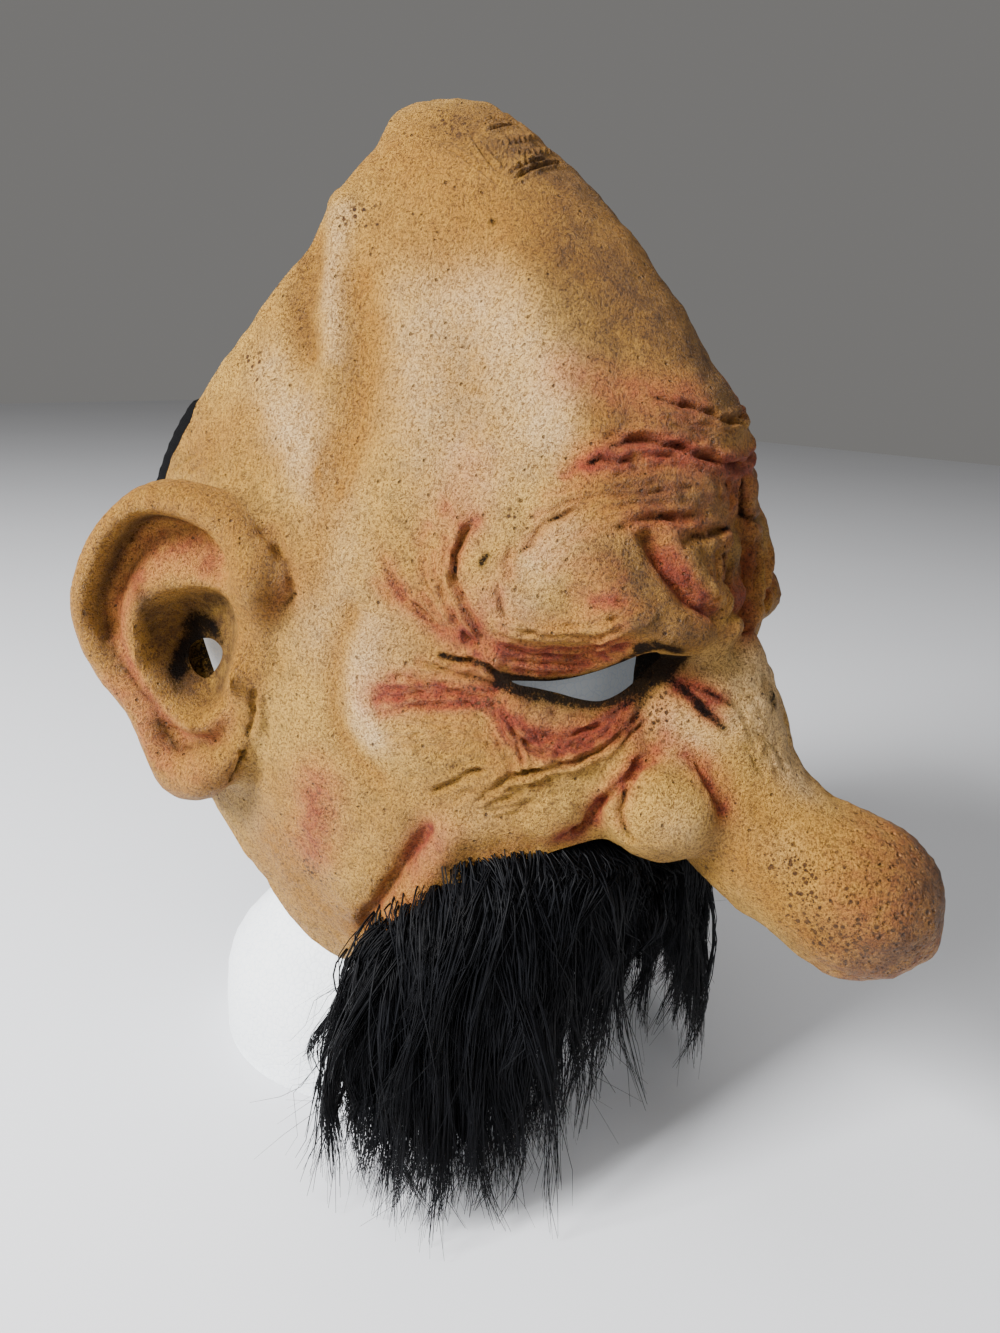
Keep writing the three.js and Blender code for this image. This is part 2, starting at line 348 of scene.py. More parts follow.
# The face form, the same as the CAD's
CHIN_HEIGHT = 36
CROWN_HEIGHT = 345.5
FACE_REACH = profile([
    (CHIN_HEIGHT, 40), (44, 82), (60, 106), (80, 119), (105, 126), (130, 128), (160, 129),
    (195, 132), (225, 136), (240, 134), (255, 129), (270, 120), (285, 109), (300, 96),
    (313, 83), (324, 70), (334, 56), (341, 44), (344.5, 36), (CROWN_HEIGHT, 26),
])
FACE_HALF_WIDTH = profile([
    (CHIN_HEIGHT, 0), (44, 40), (60, 57), (80, 64), (105, 71), (130, 75), (160, 76), (195, 76),
    (225, 74), (240, 71), (255, 66), (270, 60), (285, 54), (300, 47), (313, 39), (324, 31),
    (334, 23), (341, 14), (344.5, 7), (CROWN_HEIGHT, 0),
])
CROWN_FORWARD = 26
CROWN_STARTS = 285
REAR_DEPTH = 105
LATEX_WALL = 2.6

# Rounded lumps and hollows on both sides: centre, spread and rise
LUMPS = (
    ((30, -124, 209), (24, 36, 19), 9.5),
    ((27, -133, 198), (12, 16, 9), 10),
    ((0, -140, 222), (7, 20, 24), -4),
    ((36, -108, 183), (21, 22, 11), -9),
    ((46, -92, 152), (24, 30, 18), 4),
    ((52, -56, 270), (16, 18, 38), -5),
    ((58, -60, 88), (16, 20, 18), 4),
)


def lump_rise(points):
    rise = np.zeros(len(points))
    for centre, spread, amount in LUMPS:
        rise += amount * hill(folded(points), centre, spread)
    return rise


def on_face(height, heading, wall=0.0):
    """Points of the face form; heading is 0 in front and a quarter turn at the ears."""
    middle = CROWN_FORWARD * smoothstep(height, CROWN_STARTS, CROWN_HEIGHT)
    half = FACE_HALF_WIDTH(height)
    ahead = np.cos(heading)
    side = np.sin(heading)
    depth = np.where(ahead > 0, FACE_REACH(height) - middle, np.minimum(half * 1.5, REAR_DEPTH))
    points = np.stack([half * side, -(middle + depth * ahead), height], 1)
    out = unit(np.stack([side * depth, -ahead * half, np.zeros(len(half))], 1))
    fade = np.minimum(1, half / 20)
    return points + out * ((lump_rise(points) - wall) * fade)[:, None]


def rounded_form(around, rows, place):
    """A closed ball whose points go where place puts them, with its faces outward."""
    form = bmesh.new()
    bmesh.ops.create_uvsphere(form, u_segments=around, v_segments=rows, radius=1)
    ball = np.array([vert.co for vert in form.verts])
    for vert, point in zip(form.verts, place(*ball.T)):
        vert.co = Vector(point) * MM
    bmesh.ops.recalc_face_normals(form, faces=form.faces)
    return form


def face_form(wall, around, rows):
    """The face form, drawn in by a wall's thickness."""
    low = CHIN_HEIGHT + wall
    high = CROWN_HEIGHT - wall

    def place(x, y, z):
        polar = np.arccos(np.clip(z, -1, 1)) / math.pi
        return on_face(high - (high - low) * polar ** 1.15, np.arctan2(x, -y), wall)

    return rounded_form(around, rows, place)


def swept_form(stations, across, radius, widen, cap, around, rows, shorter=0.0):
    """A closed round body along a curve, with both ends rounded."""
    line = spline(stations, 16)
    run = run_along(line)
    tangents = unit(np.gradient(line, axis=0))
    across = np.array(across, float)

    def dome(share):
        return np.sqrt(np.maximum(0, 1 - (1 - np.minimum(1, share / cap)) ** 2))

    def place(x, y, z):
        share = (1 - z) / 2
        at = share * (1 - shorter / run[-1])
        sideways = unit(np.cross(across, read_along(at * run[-1], run, tangents)))
        turn = np.arctan2(x, y)
        thick = radius(at) * dome(share) * dome(1 - share)
        thick = np.where(np.hypot(x, y) < 1e-6, 0, thick)
        return (read_along(at * run[-1], run, line) + sideways * (thick * np.cos(turn))[:, None]
                + across * (thick * widen(at) * np.sin(turn))[:, None])

    return rounded_form(around, rows, place)


# Nose: a drooping sausage, and a round wing over each nostril
NOSE_LINE = [
    (0, -94, 216), (0, -110, 198), (0, -123, 177), (0, -133, 158), (0, -144, 143),
    (0, -159, 132), (0, -173, 127), (0, -190, 121.5), (0, -210, 118),
]
NOSE_THICKNESS = profile([
    (0, 16), (0.14, 24), (0.29, 27.5), (0.42, 27), (0.53, 25), (0.66, 23.2), (0.76, 23.4),
    (0.86, 24), (1, 24),
])
WING_CENTRE = (25, -132, 146)
WING_RADII = (17, 19, 18)


def nose_form(wall, around, rows):
    return swept_form(NOSE_LINE, (1, 0, 0), lambda share: NOSE_THICKNESS(share) - wall,
                      lambda share: 0.86 + 0.14 * share, 0.16, around, rows, wall)


def wing_form(side, wall=0.0):
    radii = np.array(WING_RADII) - wall
    centre = np.array(WING_CENTRE) * (side, 1, 1)
    return rounded_form(32, 20, lambda x, y, z: centre + np.stack([x, y, z], 1) * radii)


# Ears, in their own plane as (backward, up, outward) from where they leave the cheek
EAR_FLARE = math.radians(24)
EAR_ROOT = np.array([-74, -22, 175])
EAR_BACK = np.array([-math.sin(EAR_FLARE), math.cos(EAR_FLARE), 0])
EAR_OUT = np.array([-math.cos(EAR_FLARE), -math.sin(EAR_FLARE), 0])
EAR_UP = np.array([0, 0, 1])


def ear_spot(px, py):
    """One pixel of the photograph in the right ear's plane."""
    ray = photo_ray(px, py)
    reach = (EAR_ROOT - CAMERA_AT) @ EAR_OUT / (ray @ EAR_OUT)
    point = CAMERA_AT + ray * reach - EAR_ROOT
    return np.array([point @ EAR_BACK, point @ EAR_UP])


def on_ear(pixels, steps=6):
    """A closed line drawn on the photograph, laid into the right ear's plane."""
    return np.array([ear_spot(px, py) for px, py in spline(pixels, steps, closed=True)])


EAR_OUTLINE = on_ear([
    (290, 590), (281, 553), (262, 522), (233, 497), (196, 481), (160, 478), (127, 491),
    (99, 520), (82, 555), (74, 590), (76, 620), (84, 648), (101, 680), (124, 708), (137, 732),
    (146, 754), (154, 774), (166, 791), (184, 800), (206, 801), (224, 792), (239, 774),
    (249, 750), (262, 706), (276, 650),
])
HELIX_INNER_EDGE = on_ear([
    (238, 592), (235, 563), (219, 538), (190, 521), (152, 515), (128, 535), (112, 570),
    (104, 605), (114, 645), (136, 677), (157, 702), (166, 731), (182, 749), (204, 742),
    (222, 745), (240, 728), (250, 700), (254, 660), (252, 625), (247, 606),
])
CONCHA_EDGE = on_ear([
    (236, 592), (205, 585), (172, 590), (150, 605), (141, 632), (147, 660), (160, 686),
    (174, 703), (192, 715), (209, 717), (222, 707), (231, 688), (238, 664), (243, 636), (242, 610),
])
EAR_MIDDLE = np.array([31.0, 4.0])
CANAL_MIDDLE = ear_spot(204, 655)

# Bumps on the ear's outer face: the pixel, the radius and the rise
EAR_BUMPS = (
    (244, 676, 4.6, 4.6), (206, 732, 5.0, 3.0), (264, 572, 8.0, 4.6), (205, 780, 8.0, 2.6),
    (226, 704, 3.0, -3.0), (236, 600, 5.0, 2.0), (170, 560, 8.0, -1.6), (200, 548, 8.0, -1.4),
    (240, 740, 4.0, -1.2), (163, 770, 5.0, 1.0),
)
# How far the ear's rim, groove, ridge and bowl stand out of its plane, and how that eases
# above and in front
RIM_HEIGHT = 6.0
RIM_MORE_ABOVE = 3.4
RIM_LESS_IN_FRONT = 4.6
GROOVE_HEIGHT = -5.0
GROOVE_MORE_IN_FRONT = 3.6
RIDGE_RISE = 10.6
RIDGE_LESS_IN_FRONT = 5.0
BOWL_DEPTH = 13.0
BOWL_LESS_IN_FRONT = 5.0
CANAL_DEPTH = 4.0
# The ear's other side, where it swells into the head, and its rounded edge
EAR_BEHIND = 6.0
EAR_SWELL = 15
EAR_THINNEST = 3.2
EAR_EDGE = 6


def across_ridge(in_helix, in_concha):
    """The share of the way from the groove inside the rim to the edge of the bowl."""
    return np.clip(in_helix / np.maximum(in_helix - np.minimum(in_concha, 0), 1e-3), 0, 1)


def ear_front_height(flat, edge_depth):
    """How far the ear's outer face stands out of its plane."""
    in_helix = depth_in_loop(flat, HELIX_INNER_EDGE)
    in_concha = depth_in_loop(flat, CONCHA_EDGE)
    backward, up = flat[:, 0], flat[:, 1]
    turn = np.arctan2(up - EAR_MIDDLE[1], backward - EAR_MIDDLE[0])
    roll = edge_depth / np.maximum(edge_depth + np.maximum(-in_helix, 0), 1e-3)
    top = smoothstep(np.sin(turn), -0.5, 0.6)
    front = smoothstep(-np.cos(turn), 0.2, 0.9) * (1 - smoothstep(up, 8, 24))
    rim_height = RIM_HEIGHT + RIM_MORE_ABOVE * top - RIM_LESS_IN_FRONT * front
    helix = rim_height * np.sqrt(np.maximum(0, 1 - (2 * roll ** 1.25 - 1) ** 2))
    share = across_ridge(in_helix, in_concha)
    groove = GROOVE_HEIGHT + GROOVE_MORE_IN_FRONT * front
    ridge_rise = RIDGE_RISE - RIDGE_LESS_IN_FRONT * front
    ridge = groove + ridge_rise * smoothstep(share, 0.02, 0.86)
    ridge -= 1.4 * np.clip((share - 0.8) / 0.2, 0, 1) ** 2
    bowl = np.sin(np.clip(in_concha / 7.5, 0, 1) * math.pi / 2)
    depth = (BOWL_DEPTH - BOWL_LESS_IN_FRONT * front) * bowl
    depth = depth + CANAL_DEPTH * bowl * hill(flat, CANAL_MIDDLE, 9)
    ridge -= np.where(in_concha > 0, depth, 0)
    height = np.where(in_helix > 0, ridge, helix)
    for px, py, radius, rise in EAR_BUMPS:
        height = height + rise * hill(flat, ear_spot(px, py), radius)
    return height * np.minimum(1, edge_depth / 2)


def ear_form(side):
    """One ear: spokes from its middle, with a shaped front and a swelling behind."""

    def place(x, y, z):
        turn = np.arctan2(y, x)
        spokes = EAR_OUTLINE - EAR_MIDDLE
        angles = np.arctan2(spokes[:, 1], spokes[:, 0])
        order = np.argsort(angles)
        reach = np.interp(turn, angles[order], np.linalg.norm(spokes, axis=1)[order],
                          period=2 * math.pi)
        share = np.hypot(x, y)
        flat = EAR_MIDDLE + np.stack([np.cos(turn), np.sin(turn)], 1) * (reach * share)[:, None]
        edge_depth = np.maximum(depth_in_loop(flat, EAR_OUTLINE), 0)
        edge = np.sqrt(np.maximum(0, 1 - (1 - np.minimum(1, edge_depth / EAR_EDGE)) ** 2))
        front = ear_front_height(flat, edge_depth)
        swell = hill(flat, (25, 2), (19, 23))
        back = -(EAR_BEHIND + EAR_SWELL * swell) * edge
        back = np.minimum(back, front - EAR_THINNEST * edge)
        outward = np.where(z > 1e-6, front, back)
        outward = np.where(np.abs(z) <= 1e-6, 0, outward)
        made = (EAR_ROOT + flat[:, :1] * EAR_BACK + flat[:, 1:] * EAR_UP
                + outward[:, None] * EAR_OUT)
        return made * (-side, 1, 1)

    return rounded_form(150, 110, place)


# One skin over face, nose, wings and ears, with soft joints between them
VOXEL = 2.6
# How far each soft joint reaches, and over what length it is evened out
NOSE_JOINT = 4
NOSE_EVENING = 32
EAR_JOINT = 3
EAR_EVENING = 14


def closed_skin():
    """The skin as one solid, before it is hollowed."""
    parts = [gathered("face", [face_form(0, 180, 130)]),
             gathered("extras", [nose_form(0, 56, 90), *(wing_form(s) for s in SIDES)]),
             gathered("ears", [ear_form(s) for s in SIDES])]
    trees = [tree_of(part) for part in parts]
    whole = bmesh.new()
    for part in parts:
        whole.from_mesh(part.data)
        discard(part)
    skin = remeshed(piece_of(whole, "mask_skin"), VOXEL)
    points = read_points(skin.data)
    edges = read_edges(skin.data)
    from_face, from_extras, from_ears = (distance_to(tree, points) for tree in trees)
    nose_joint = bell(np.maximum(from_face, from_extras), NOSE_JOINT)
    ear_joint = bell(np.maximum(from_face, from_ears), EAR_JOINT)
    points = blurred(points, edges, int(NOSE_EVENING / VOXEL), nose_joint)
    points = blurred(points, edges, int(EAR_EVENING / VOXEL), ear_joint)
    points = blurred(points, edges, 3, np.where(from_ears < 0.5, 0.3, 1))
    write_points(skin.data, points)
    return skin


skin = closed_skin()


# Rolls and hollows of the skin: a line of pixels, its half width and its rise
ROLLS = (
    # Forehead rolls between the creases
    ([(585, 425), (640, 420), (700, 428), (745, 445)], 6.0, 1.8),
    ([(592, 455), (640, 450), (690, 458), (730, 465)], 2.6, 1.3),
    ([(560, 500), (610, 488), (680, 488), (725, 492)], 7.0, 2.2),
    ([(620, 385), (690, 390), (735, 400)], 7.0, 1.2),
    # Brow: the round outer mass, the hanging inner corner and the valley between them
    ([(530, 585), (560, 575), (590, 570)], 14.0, 3.4),
    ([(600, 530), (640, 535)], 6.0, 1.4),
    ([(642, 536), (655, 556), (671, 580), (692, 604), (710, 618)], 2.4, -2.8),
    ([(668, 540), (690, 566), (708, 590), (718, 602)], 3.2, 2.8),
    ([(620, 596), (655, 618), (692, 634), (722, 632)], 7.0, 3.6),
    ([(726, 600), (730, 622)], 4.0, 2.0), ([(664, 664), (700, 667), (736, 658)], 4.0, -2.6),
    ([(724, 535), (732, 565), (734, 600)], 3.0, 1.8),
    ([(575, 600), (600, 600), (625, 598)], 4.0, -1.5),
    ([(505, 622), (550, 632), (600, 630), (640, 618)], 4.0, 1.8),
    ([(520, 552), (550, 528), (590, 508)], 4.0, -1.0),
    ([(475, 570), (480, 600)], 5.0, 1.6),
    ([(445, 560), (447, 585), (455, 605)], 3.0, 1.0),
    ([(420, 575), (440, 605), (462, 630)], 3.0, 1.0),
    ([(742, 480), (743, 540), (743, 600), (738, 645)], 3.4, -2.6),
    # Lids and the bag under the eye
    ([(490, 655), (530, 664), (575, 666), (615, 656), (640, 645)], 3.2, 2.2),
    ([(520, 704), (555, 714), (590, 716), (620, 706)], 5.0, 2.2),
    ([(515, 728), (550, 742), (580, 741), (610, 724)], 3.2, 1.6),
    ([(545, 752), (580, 754), (612, 738), (636, 715)], 3.0, 1.5),
    ([(500, 772), (545, 762), (590, 758), (625, 742)], 4.0, 1.8),
    ([(500, 795), (540, 782), (590, 770)], 6.0, 1.2),
    ([(645, 672), (640, 700), (632, 722)], 3.6, -1.4),
    ([(420, 760), (460, 764), (490, 757)], 6.0, 1.2),
    ([(390, 720), (440, 724), (480, 726)], 8.0, 1.4),
    ([(380, 672), (430, 674)], 4.0, 0.8),
    ([(356, 608), (341, 645), (337, 700), (350, 748), (376, 780)], 3.4, -1.7),
    ([(372, 640), (362, 690), (374, 735)], 6.0, 1.2),
    # Cheek, jowl and the fold beside the nose
    ([(636, 735), (610, 768), (580, 795), (548, 820)], 6.5, 2.4),
    ([(648, 752), (628, 780), (604, 804), (580, 826)], 2.6, -2.2),
    ([(600, 815), (618, 800)], 4.0, 1.0),
    ([(452, 826), (432, 862), (412, 900), (386, 940)], 5.5, 3.4),
    ([(548, 820), (500, 832), (455, 836)], 7.0, 1.8),
    ([(395, 820), (380, 860), (350, 905)], 7.0, 2.0),
    ([(424, 832), (402, 866), (380, 900), (362, 930)], 4.6, -2.8),
    ([(450, 898), (420, 925), (398, 945)], 3.0, -1.2),
    ([(320, 800), (318, 850)], 14.0, 1.8),
    ([(275, 690), (285, 760)], 7.0, 1.0),
    ([(300, 560), (300, 640)], 9.0, 1.0),
    # Temple valley, the ridge before it and the side of the crown
    ([(340, 208), (334, 240), (331, 300), (335, 352), (324, 396)], 4.5, 2.4),
    ([(316, 248), (309, 285), (303, 318), (310, 352)], 5.0, -2.6),
    ([(362, 285), (369, 335), (363, 395), (350, 440), (333, 476)], 6.5, -3.2),
    ([(410, 260), (415, 340), (415, 440)], 12.0, 2.2),
    ([(460, 330), (465, 400), (455, 450)], 7.0, -1.0),
    ([(525, 300), (540, 380), (545, 450)], 12.0, 1.8),
    ([(285, 330), (262, 372), (240, 410)], 7.0, 1.4),
    ([(270, 400), (300, 440), (318, 480)], 7.0, 1.6),
    ([(345, 175), (345, 215)], 6.0, 1.2),
    # The turn from the side of the forehead to its front
    ([(528, 285), (556, 350), (582, 420), (596, 480)], 8.0, 2.2),
    # Nose
    ([(629, 836), (622, 812), (626, 788), (640, 768), (658, 757)], 1.8, -1.8),
    ([(660, 735), (690, 742), (712, 762)], 5.0, -1.4),
    ([(730, 790), (760, 815), (790, 840)], 9.0, -1.4),
    ([(870, 865), (905, 900)], 13.0, 1.6),
    ([(700, 700), (740, 740)], 8.0, 1.0),
    ([(780, 760), (810, 790)], 7.0, -0.8),
)

# Creases, traced on the photograph and pressed into both sides of the skin.
# Each is a line of pixels, then its half width, depth and redness.
FOREHEAD_CREASES = (
    ([(650, 397), (666, 400), (682, 405), (698, 409), (712, 412), (720, 419), (732, 421),
      (748, 425)], 0.9, 1.9, 0.3),
    ([(608, 446), (630, 441), (650, 440), (668, 443), (682, 449), (697, 455), (715, 460),
      (732, 466), (755, 466)], 1.1, 2.5, 0.9),
    ([(578, 468), (590, 463), (602, 459), (615, 461), (634, 462)], 0.8, 1.5, 1.0),
    ([(640, 452), (665, 456), (690, 464)], 0.8, 0.7, 0.8),
    ([(560, 480), (572, 470), (582, 462)], 0.8, 0.7, 0.6),
    ([(665, 425), (690, 428), (712, 436)], 0.8, 0.5, 0.1),
    ([(736, 474), (738, 495), (742, 512), (755, 519), (766, 516)], 1.2, 2.0, 0.1),
    ([(727, 478), (728, 492), (732, 506)], 0.8, 1.0, 0.1),
    ([(718, 480), (720, 500), (722, 512)], 0.8, 0.6, 0.1),
    ([(742, 520), (744, 560), (744, 600), (739, 642)], 1.5, 2.4, 0.3),
    ([(752, 545), (757, 575), (757, 605), (752, 630)], 0.9, 1.4, 0.4),
    ([(762, 560), (766, 590), (764, 612)], 0.8, 1.0, 0.2),
)
BROW_CREASES = (
    ([(614, 531), (630, 523), (648, 519), (672, 518), (698, 514)], 1.1, 2.2, 0.4),
    ([(622, 512), (650, 507), (680, 508)], 0.9, 0.6, 0.3),
    ([(688, 531), (700, 538), (712, 538), (722, 535)], 0.7, 0.35, 0.0),
    ([(646, 540), (652, 556), (662, 574), (676, 590), (694, 606), (712, 620)], 1.1, 1.3, 0.8),
    ([(664, 545), (672, 562), (688, 584), (704, 602), (716, 614)], 0.9, 0.8, 1.0),
    ([(722, 548), (727, 566), (724, 590)], 0.8, 1.1, 0.0),
    ([(714, 560), (717, 580)], 0.7, 0.6, 0.0),
    ([(490, 514), (474, 524), (463, 536), (457, 553), (456, 575), (461, 597), (470, 617),
      (484, 638)], 1.0, 2.5, 0.8),
    ([(448, 604), (457, 620), (467, 636), (480, 648)], 0.8, 1.5, 0.8),
    ([(438, 586), (446, 606), (456, 624)], 0.7, 0.8, 0.6),
    ([(380, 550), (388, 572), (401, 593), (418, 610), (434, 624), (454, 640)], 0.9, 1.7, 0.6),
    ([(392, 585), (410, 603), (430, 620), (444, 632)], 0.7, 0.8, 0.6),
    ([(372, 575), (384, 592), (398, 606)], 0.7, 0.6, 0.4),
    ([(496, 578), (498, 595), (502, 608), (508, 618), (518, 624)], 0.8, 1.3, 0.3),
    ([(578, 507), (562, 514), (548, 522), (536, 536), (518, 553)], 0.8, 1.3, 0.6),
    ([(586, 498), (565, 503), (546, 512), (530, 524)], 0.7, 0.8, 0.5),
    ([(540, 500), (560, 492), (585, 486)], 0.7, 0.5, 0.4),
    ([(512, 545), (507, 563), (508, 585)], 0.9, 0.9, 0.5),
    ([(588, 605), (610, 601), (632, 606)], 1.1, 0.9, 0.6),
    ([(598, 620), (622, 616), (644, 602)], 0.8, 0.8, 0.3),
    ([(640, 625), (650, 612), (655, 598)], 0.7, 0.5, 0.1),
    ([(480, 562), (489, 556)], 0.8, 1.0, 0.0),
    ([(432, 520), (424, 535), (420, 552)], 0.8, 0.5, 0.4),
    ([(450, 500), (438, 515)], 0.7, 0.5, 0.5),
)
LID_CREASES = (
    ([(484, 640), (505, 648), (532, 653), (562, 655), (592, 653), (618, 646), (640, 640)],
     0.7, 1.5, 1.0),
    ([(496, 654), (522, 661), (553, 664), (586, 663), (612, 655)], 0.7, 1.2, 1.0),
    ([(510, 646), (540, 648), (572, 648), (602, 644), (630, 634)], 0.6, 1.1, 1.0),
    ([(505, 666), (530, 671), (560, 672), (590, 668)], 0.7, 0.8, 0.9),
    ([(500, 622), (528, 632), (560, 637), (592, 635)], 0.7, 0.8, 0.2),
    ([(498, 632), (520, 640), (548, 643)], 0.6, 0.7, 0.4),
    ([(560, 625), (590, 624), (615, 615)], 0.6, 0.5, 0.1),
    ([(580, 642), (610, 634), (632, 620)], 0.7, 0.8, 0.5),
    ([(438, 654), (457, 660), (476, 661), (490, 668), (502, 677)], 0.9, 1.7, 0.2),
    ([(450, 671), (474, 677), (496, 685)], 0.7, 1.1, 0.3),
    ([(422, 664), (446, 669), (462, 676)], 0.7, 0.8, 0.3),
    ([(470, 650), (484, 660), (496, 670)], 0.7, 1.0, 0.6),
)
CROWS_FEET = (
    ([(366, 702), (392, 697), (425, 693), (460, 694), (500, 696)], 0.8, 1.5, 1.0),
    ([(372, 692), (400, 689), (430, 687), (455, 690), (480, 689)], 0.7, 1.0, 1.0),
    ([(398, 708), (425, 704), (460, 703), (498, 703)], 0.7, 1.3, 0.9),
    ([(385, 681), (402, 678), (425, 682)], 0.6, 0.7, 0.6),
    ([(470, 686), (484, 692), (500, 690)], 0.6, 0.9, 0.8),
    ([(480, 712), (490, 706), (500, 700)], 0.6, 0.7, 0.7),
    ([(375, 715), (395, 709), (415, 706)], 0.7, 0.6, 0.6),
)
EYE_BAG_CREASES = (
    ([(499, 697), (502, 712), (510, 727), (523, 740), (538, 750), (554, 764)], 0.8, 1.7, 0.8),
    ([(491, 700), (496, 716), (503, 730), (512, 742), (520, 756), (526, 770)], 0.7, 1.2, 0.7),
    ([(486, 720), (494, 736), (505, 750)], 0.7, 0.7, 0.4),
    ([(508, 716), (528, 731), (552, 737), (576, 734), (600, 722), (624, 706), (642, 694)],
     0.8, 1.4, 0.9),
    ([(520, 726), (545, 742), (572, 743), (596, 732), (618, 716), (636, 700)], 0.7, 1.1, 0.9),
    ([(532, 747), (556, 753), (582, 747), (606, 732), (628, 713)], 0.8, 1.4, 0.9),
    ([(548, 762), (575, 759), (602, 747), (625, 730), (642, 708)], 0.8, 1.5, 0.6),
    ([(545, 707), (560, 716), (580, 719), (602, 716)], 0.7, 0.7, 0.2),
    ([(500, 784), (515, 776), (540, 769), (566, 764), (592, 754), (616, 742)], 0.8, 1.5, 0.1),
    ([(522, 767), (528, 777), (536, 788)], 0.7, 0.9, 0.2),
    ([(498, 762), (515, 758), (532, 766)], 0.7, 0.8, 0.2),
    ([(560, 776), (585, 768), (610, 756)], 0.7, 0.6, 0.1),
    ([(536, 772), (548, 778), (556, 782)], 0.7, 0.6, 0.0),
    ([(618, 745), (632, 735), (646, 716)], 0.8, 1.0, 0.4),
)
CHEEK_CREASES = (
    ([(426, 794), (444, 786), (460, 780), (474, 772), (490, 767)], 0.9, 1.9, 0.0),
    ([(468, 803), (486, 796), (502, 785), (520, 776), (544, 768)], 0.9, 1.7, 0.0),
    ([(490, 806), (510, 796), (528, 788)], 0.8, 0.8, 0.0),
    ([(446, 770), (470, 762), (496, 760)], 0.8, 0.8, 0.0),
    ([(430, 760), (452, 752), (480, 748)], 0.8, 0.5, 0.0),
    ([(400, 780), (420, 776), (445, 776)], 0.8, 0.5, 0.0),
    ([(470, 742), (490, 745), (508, 752)], 0.7, 0.7, 0.1),
    ([(646, 748), (628, 774), (606, 797), (584, 818), (556, 842)], 1.2, 2.2, 0.9),
    ([(620, 798), (604, 812), (590, 828)], 0.8, 0.6, 0.6),
    ([(436, 820), (418, 844), (402, 866), (386, 888), (371, 910), (354, 936)], 1.6, 2.2, 0.7),
    ([(262, 690), (268, 716), (268, 745)], 1.3, 0.9, 0.0),
    ([(256, 518), (276, 542), (290, 572), (292, 596), (280, 610)], 1.6, 2.2, 0.2),
    ([(254, 686), (253, 712), (248, 738)], 0.9, 1.9, 0.1),
    ([(247, 746), (240, 764), (229, 783)], 0.8, 1.9, 0.1),
    ([(270, 640), (280, 660), (282, 690)], 1.0, 0.5, 0.0),
    ([(450, 900), (430, 915), (410, 935)], 1.2, 1.0, 0.9),
)
NOSE_CREASES = (
    ([(628, 834), (622, 814), (625, 790), (639, 769), (658, 758)], 1.2, 1.9, 0.6),
    ([(694, 764), (706, 782), (716, 802), (722, 822)], 1.0, 1.0, 0.7),
    ([(674, 678), (688, 692), (702, 708), (716, 722), (724, 729)], 0.9, 1.6, 0.8),
    ([(684, 680), (700, 688), (716, 698), (732, 706)], 0.8, 1.1, 0.7),
    ([(735, 800), (765, 815), (790, 835)], 1.2, 0.6, 0.0),
    ([(752, 812), (775, 838)], 1.0, 0.5, 0.0),
    ([(762, 676), (770, 698), (780, 716)], 0.9, 0.9, 0.0),
    ([(655, 690), (662, 715), (660, 745)], 1.0, 0.5, 0.2),
    ([(738, 716), (760, 735), (785, 755)], 1.2, 0.5, 0.0),
    ([(640, 840), (628, 836), (620, 828)], 0.8, 1.2, 0.1),
)
TEMPLE_CREASES = (
    ([(172, 470), (186, 460), (200, 452)], 1.0, 1.2, 0.0),
    ([(190, 470), (210, 462)], 0.8, 1.0, 0.0),
    ([(300, 300), (312, 330), (316, 370)], 1.2, 0.5, 0.0),
)
# Fine wrinkles lie between two guide lines: both guides, how many, depth and redness
FINE_WRINKLES = (
    ([(474, 524), (457, 560), (461, 597), (484, 638)], [(380, 550), (401, 593), (434, 624), (478, 648)],
     16, 0.8, 0.5),
    ([(484, 636), (532, 649), (592, 649), (640, 632)], [(500, 600), (545, 618), (600, 612), (640, 596)],
     12, 0.6, 0.35),
    ([(504, 700), (523, 736), (560, 735), (624, 706)], [(495, 764), (540, 778), (600, 752), (648, 712)],
     16, 0.8, 0.3),
    ([(426, 794), (490, 767), (560, 760)], [(440, 832), (520, 815), (600, 784)], 14, 0.6, 0.05),
    ([(484, 700), (488, 740), (500, 790)], [(510, 716), (530, 760), (545, 790)], 9, 0.7, 0.2),
    ([(520, 552), (550, 516), (610, 488), (720, 490)], [(545, 560), (590, 532), (640, 528), (700, 524)],
     12, 0.6, 0.3),
    ([(746, 500), (748, 560), (744, 640)], [(764, 520), (772, 580), (764, 650)], 8, 1.0, 0.4),
    ([(600, 425), (660, 415), (744, 432)], [(590, 500), (660, 486), (730, 500)], 14, 0.6, 0.25),
    ([(450, 640), (480, 655), (498, 676)], [(360, 690), (420, 684), (490, 686)], 10, 0.7, 0.4),
    ([(362, 715), (420, 712), (490, 712)], [(390, 760), (440, 748), (500, 744)], 8, 0.5, 0.15),
    ([(690, 545), (712, 570), (722, 600)], [(722, 545), (730, 570), (732, 610)], 6, 0.4, 0.1),
    ([(560, 590), (600, 590), (640, 586)], [(520, 560), (560, 548), (620, 560)], 8, 0.4, 0.3),
    ([(690, 680), (730, 730), (770, 790)], [(740, 670), (775, 730), (800, 780)], 10, 0.5, 0.0),
    ([(650, 730), (690, 740), (715, 770)], [(660, 755), (690, 765), (705, 800)], 8, 0.6, 0.4),
    ([(240, 420), (210, 450), (180, 480)], [(300, 430), (260, 470), (230, 480)], 6, 0.6, 0.0),
)
CREASE_GROUPS = (FOREHEAD_CREASES, BROW_CREASES, LID_CREASES, CROWS_FEET, EYE_BAG_CREASES,
                 CHEEK_CREASES, NOSE_CREASES, TEMPLE_CREASES)

# The surface that pixels are laid on, made anew after the skin has changed
skin_now = {"tree": tree_of(skin)}
LONGEST_STEP = 14


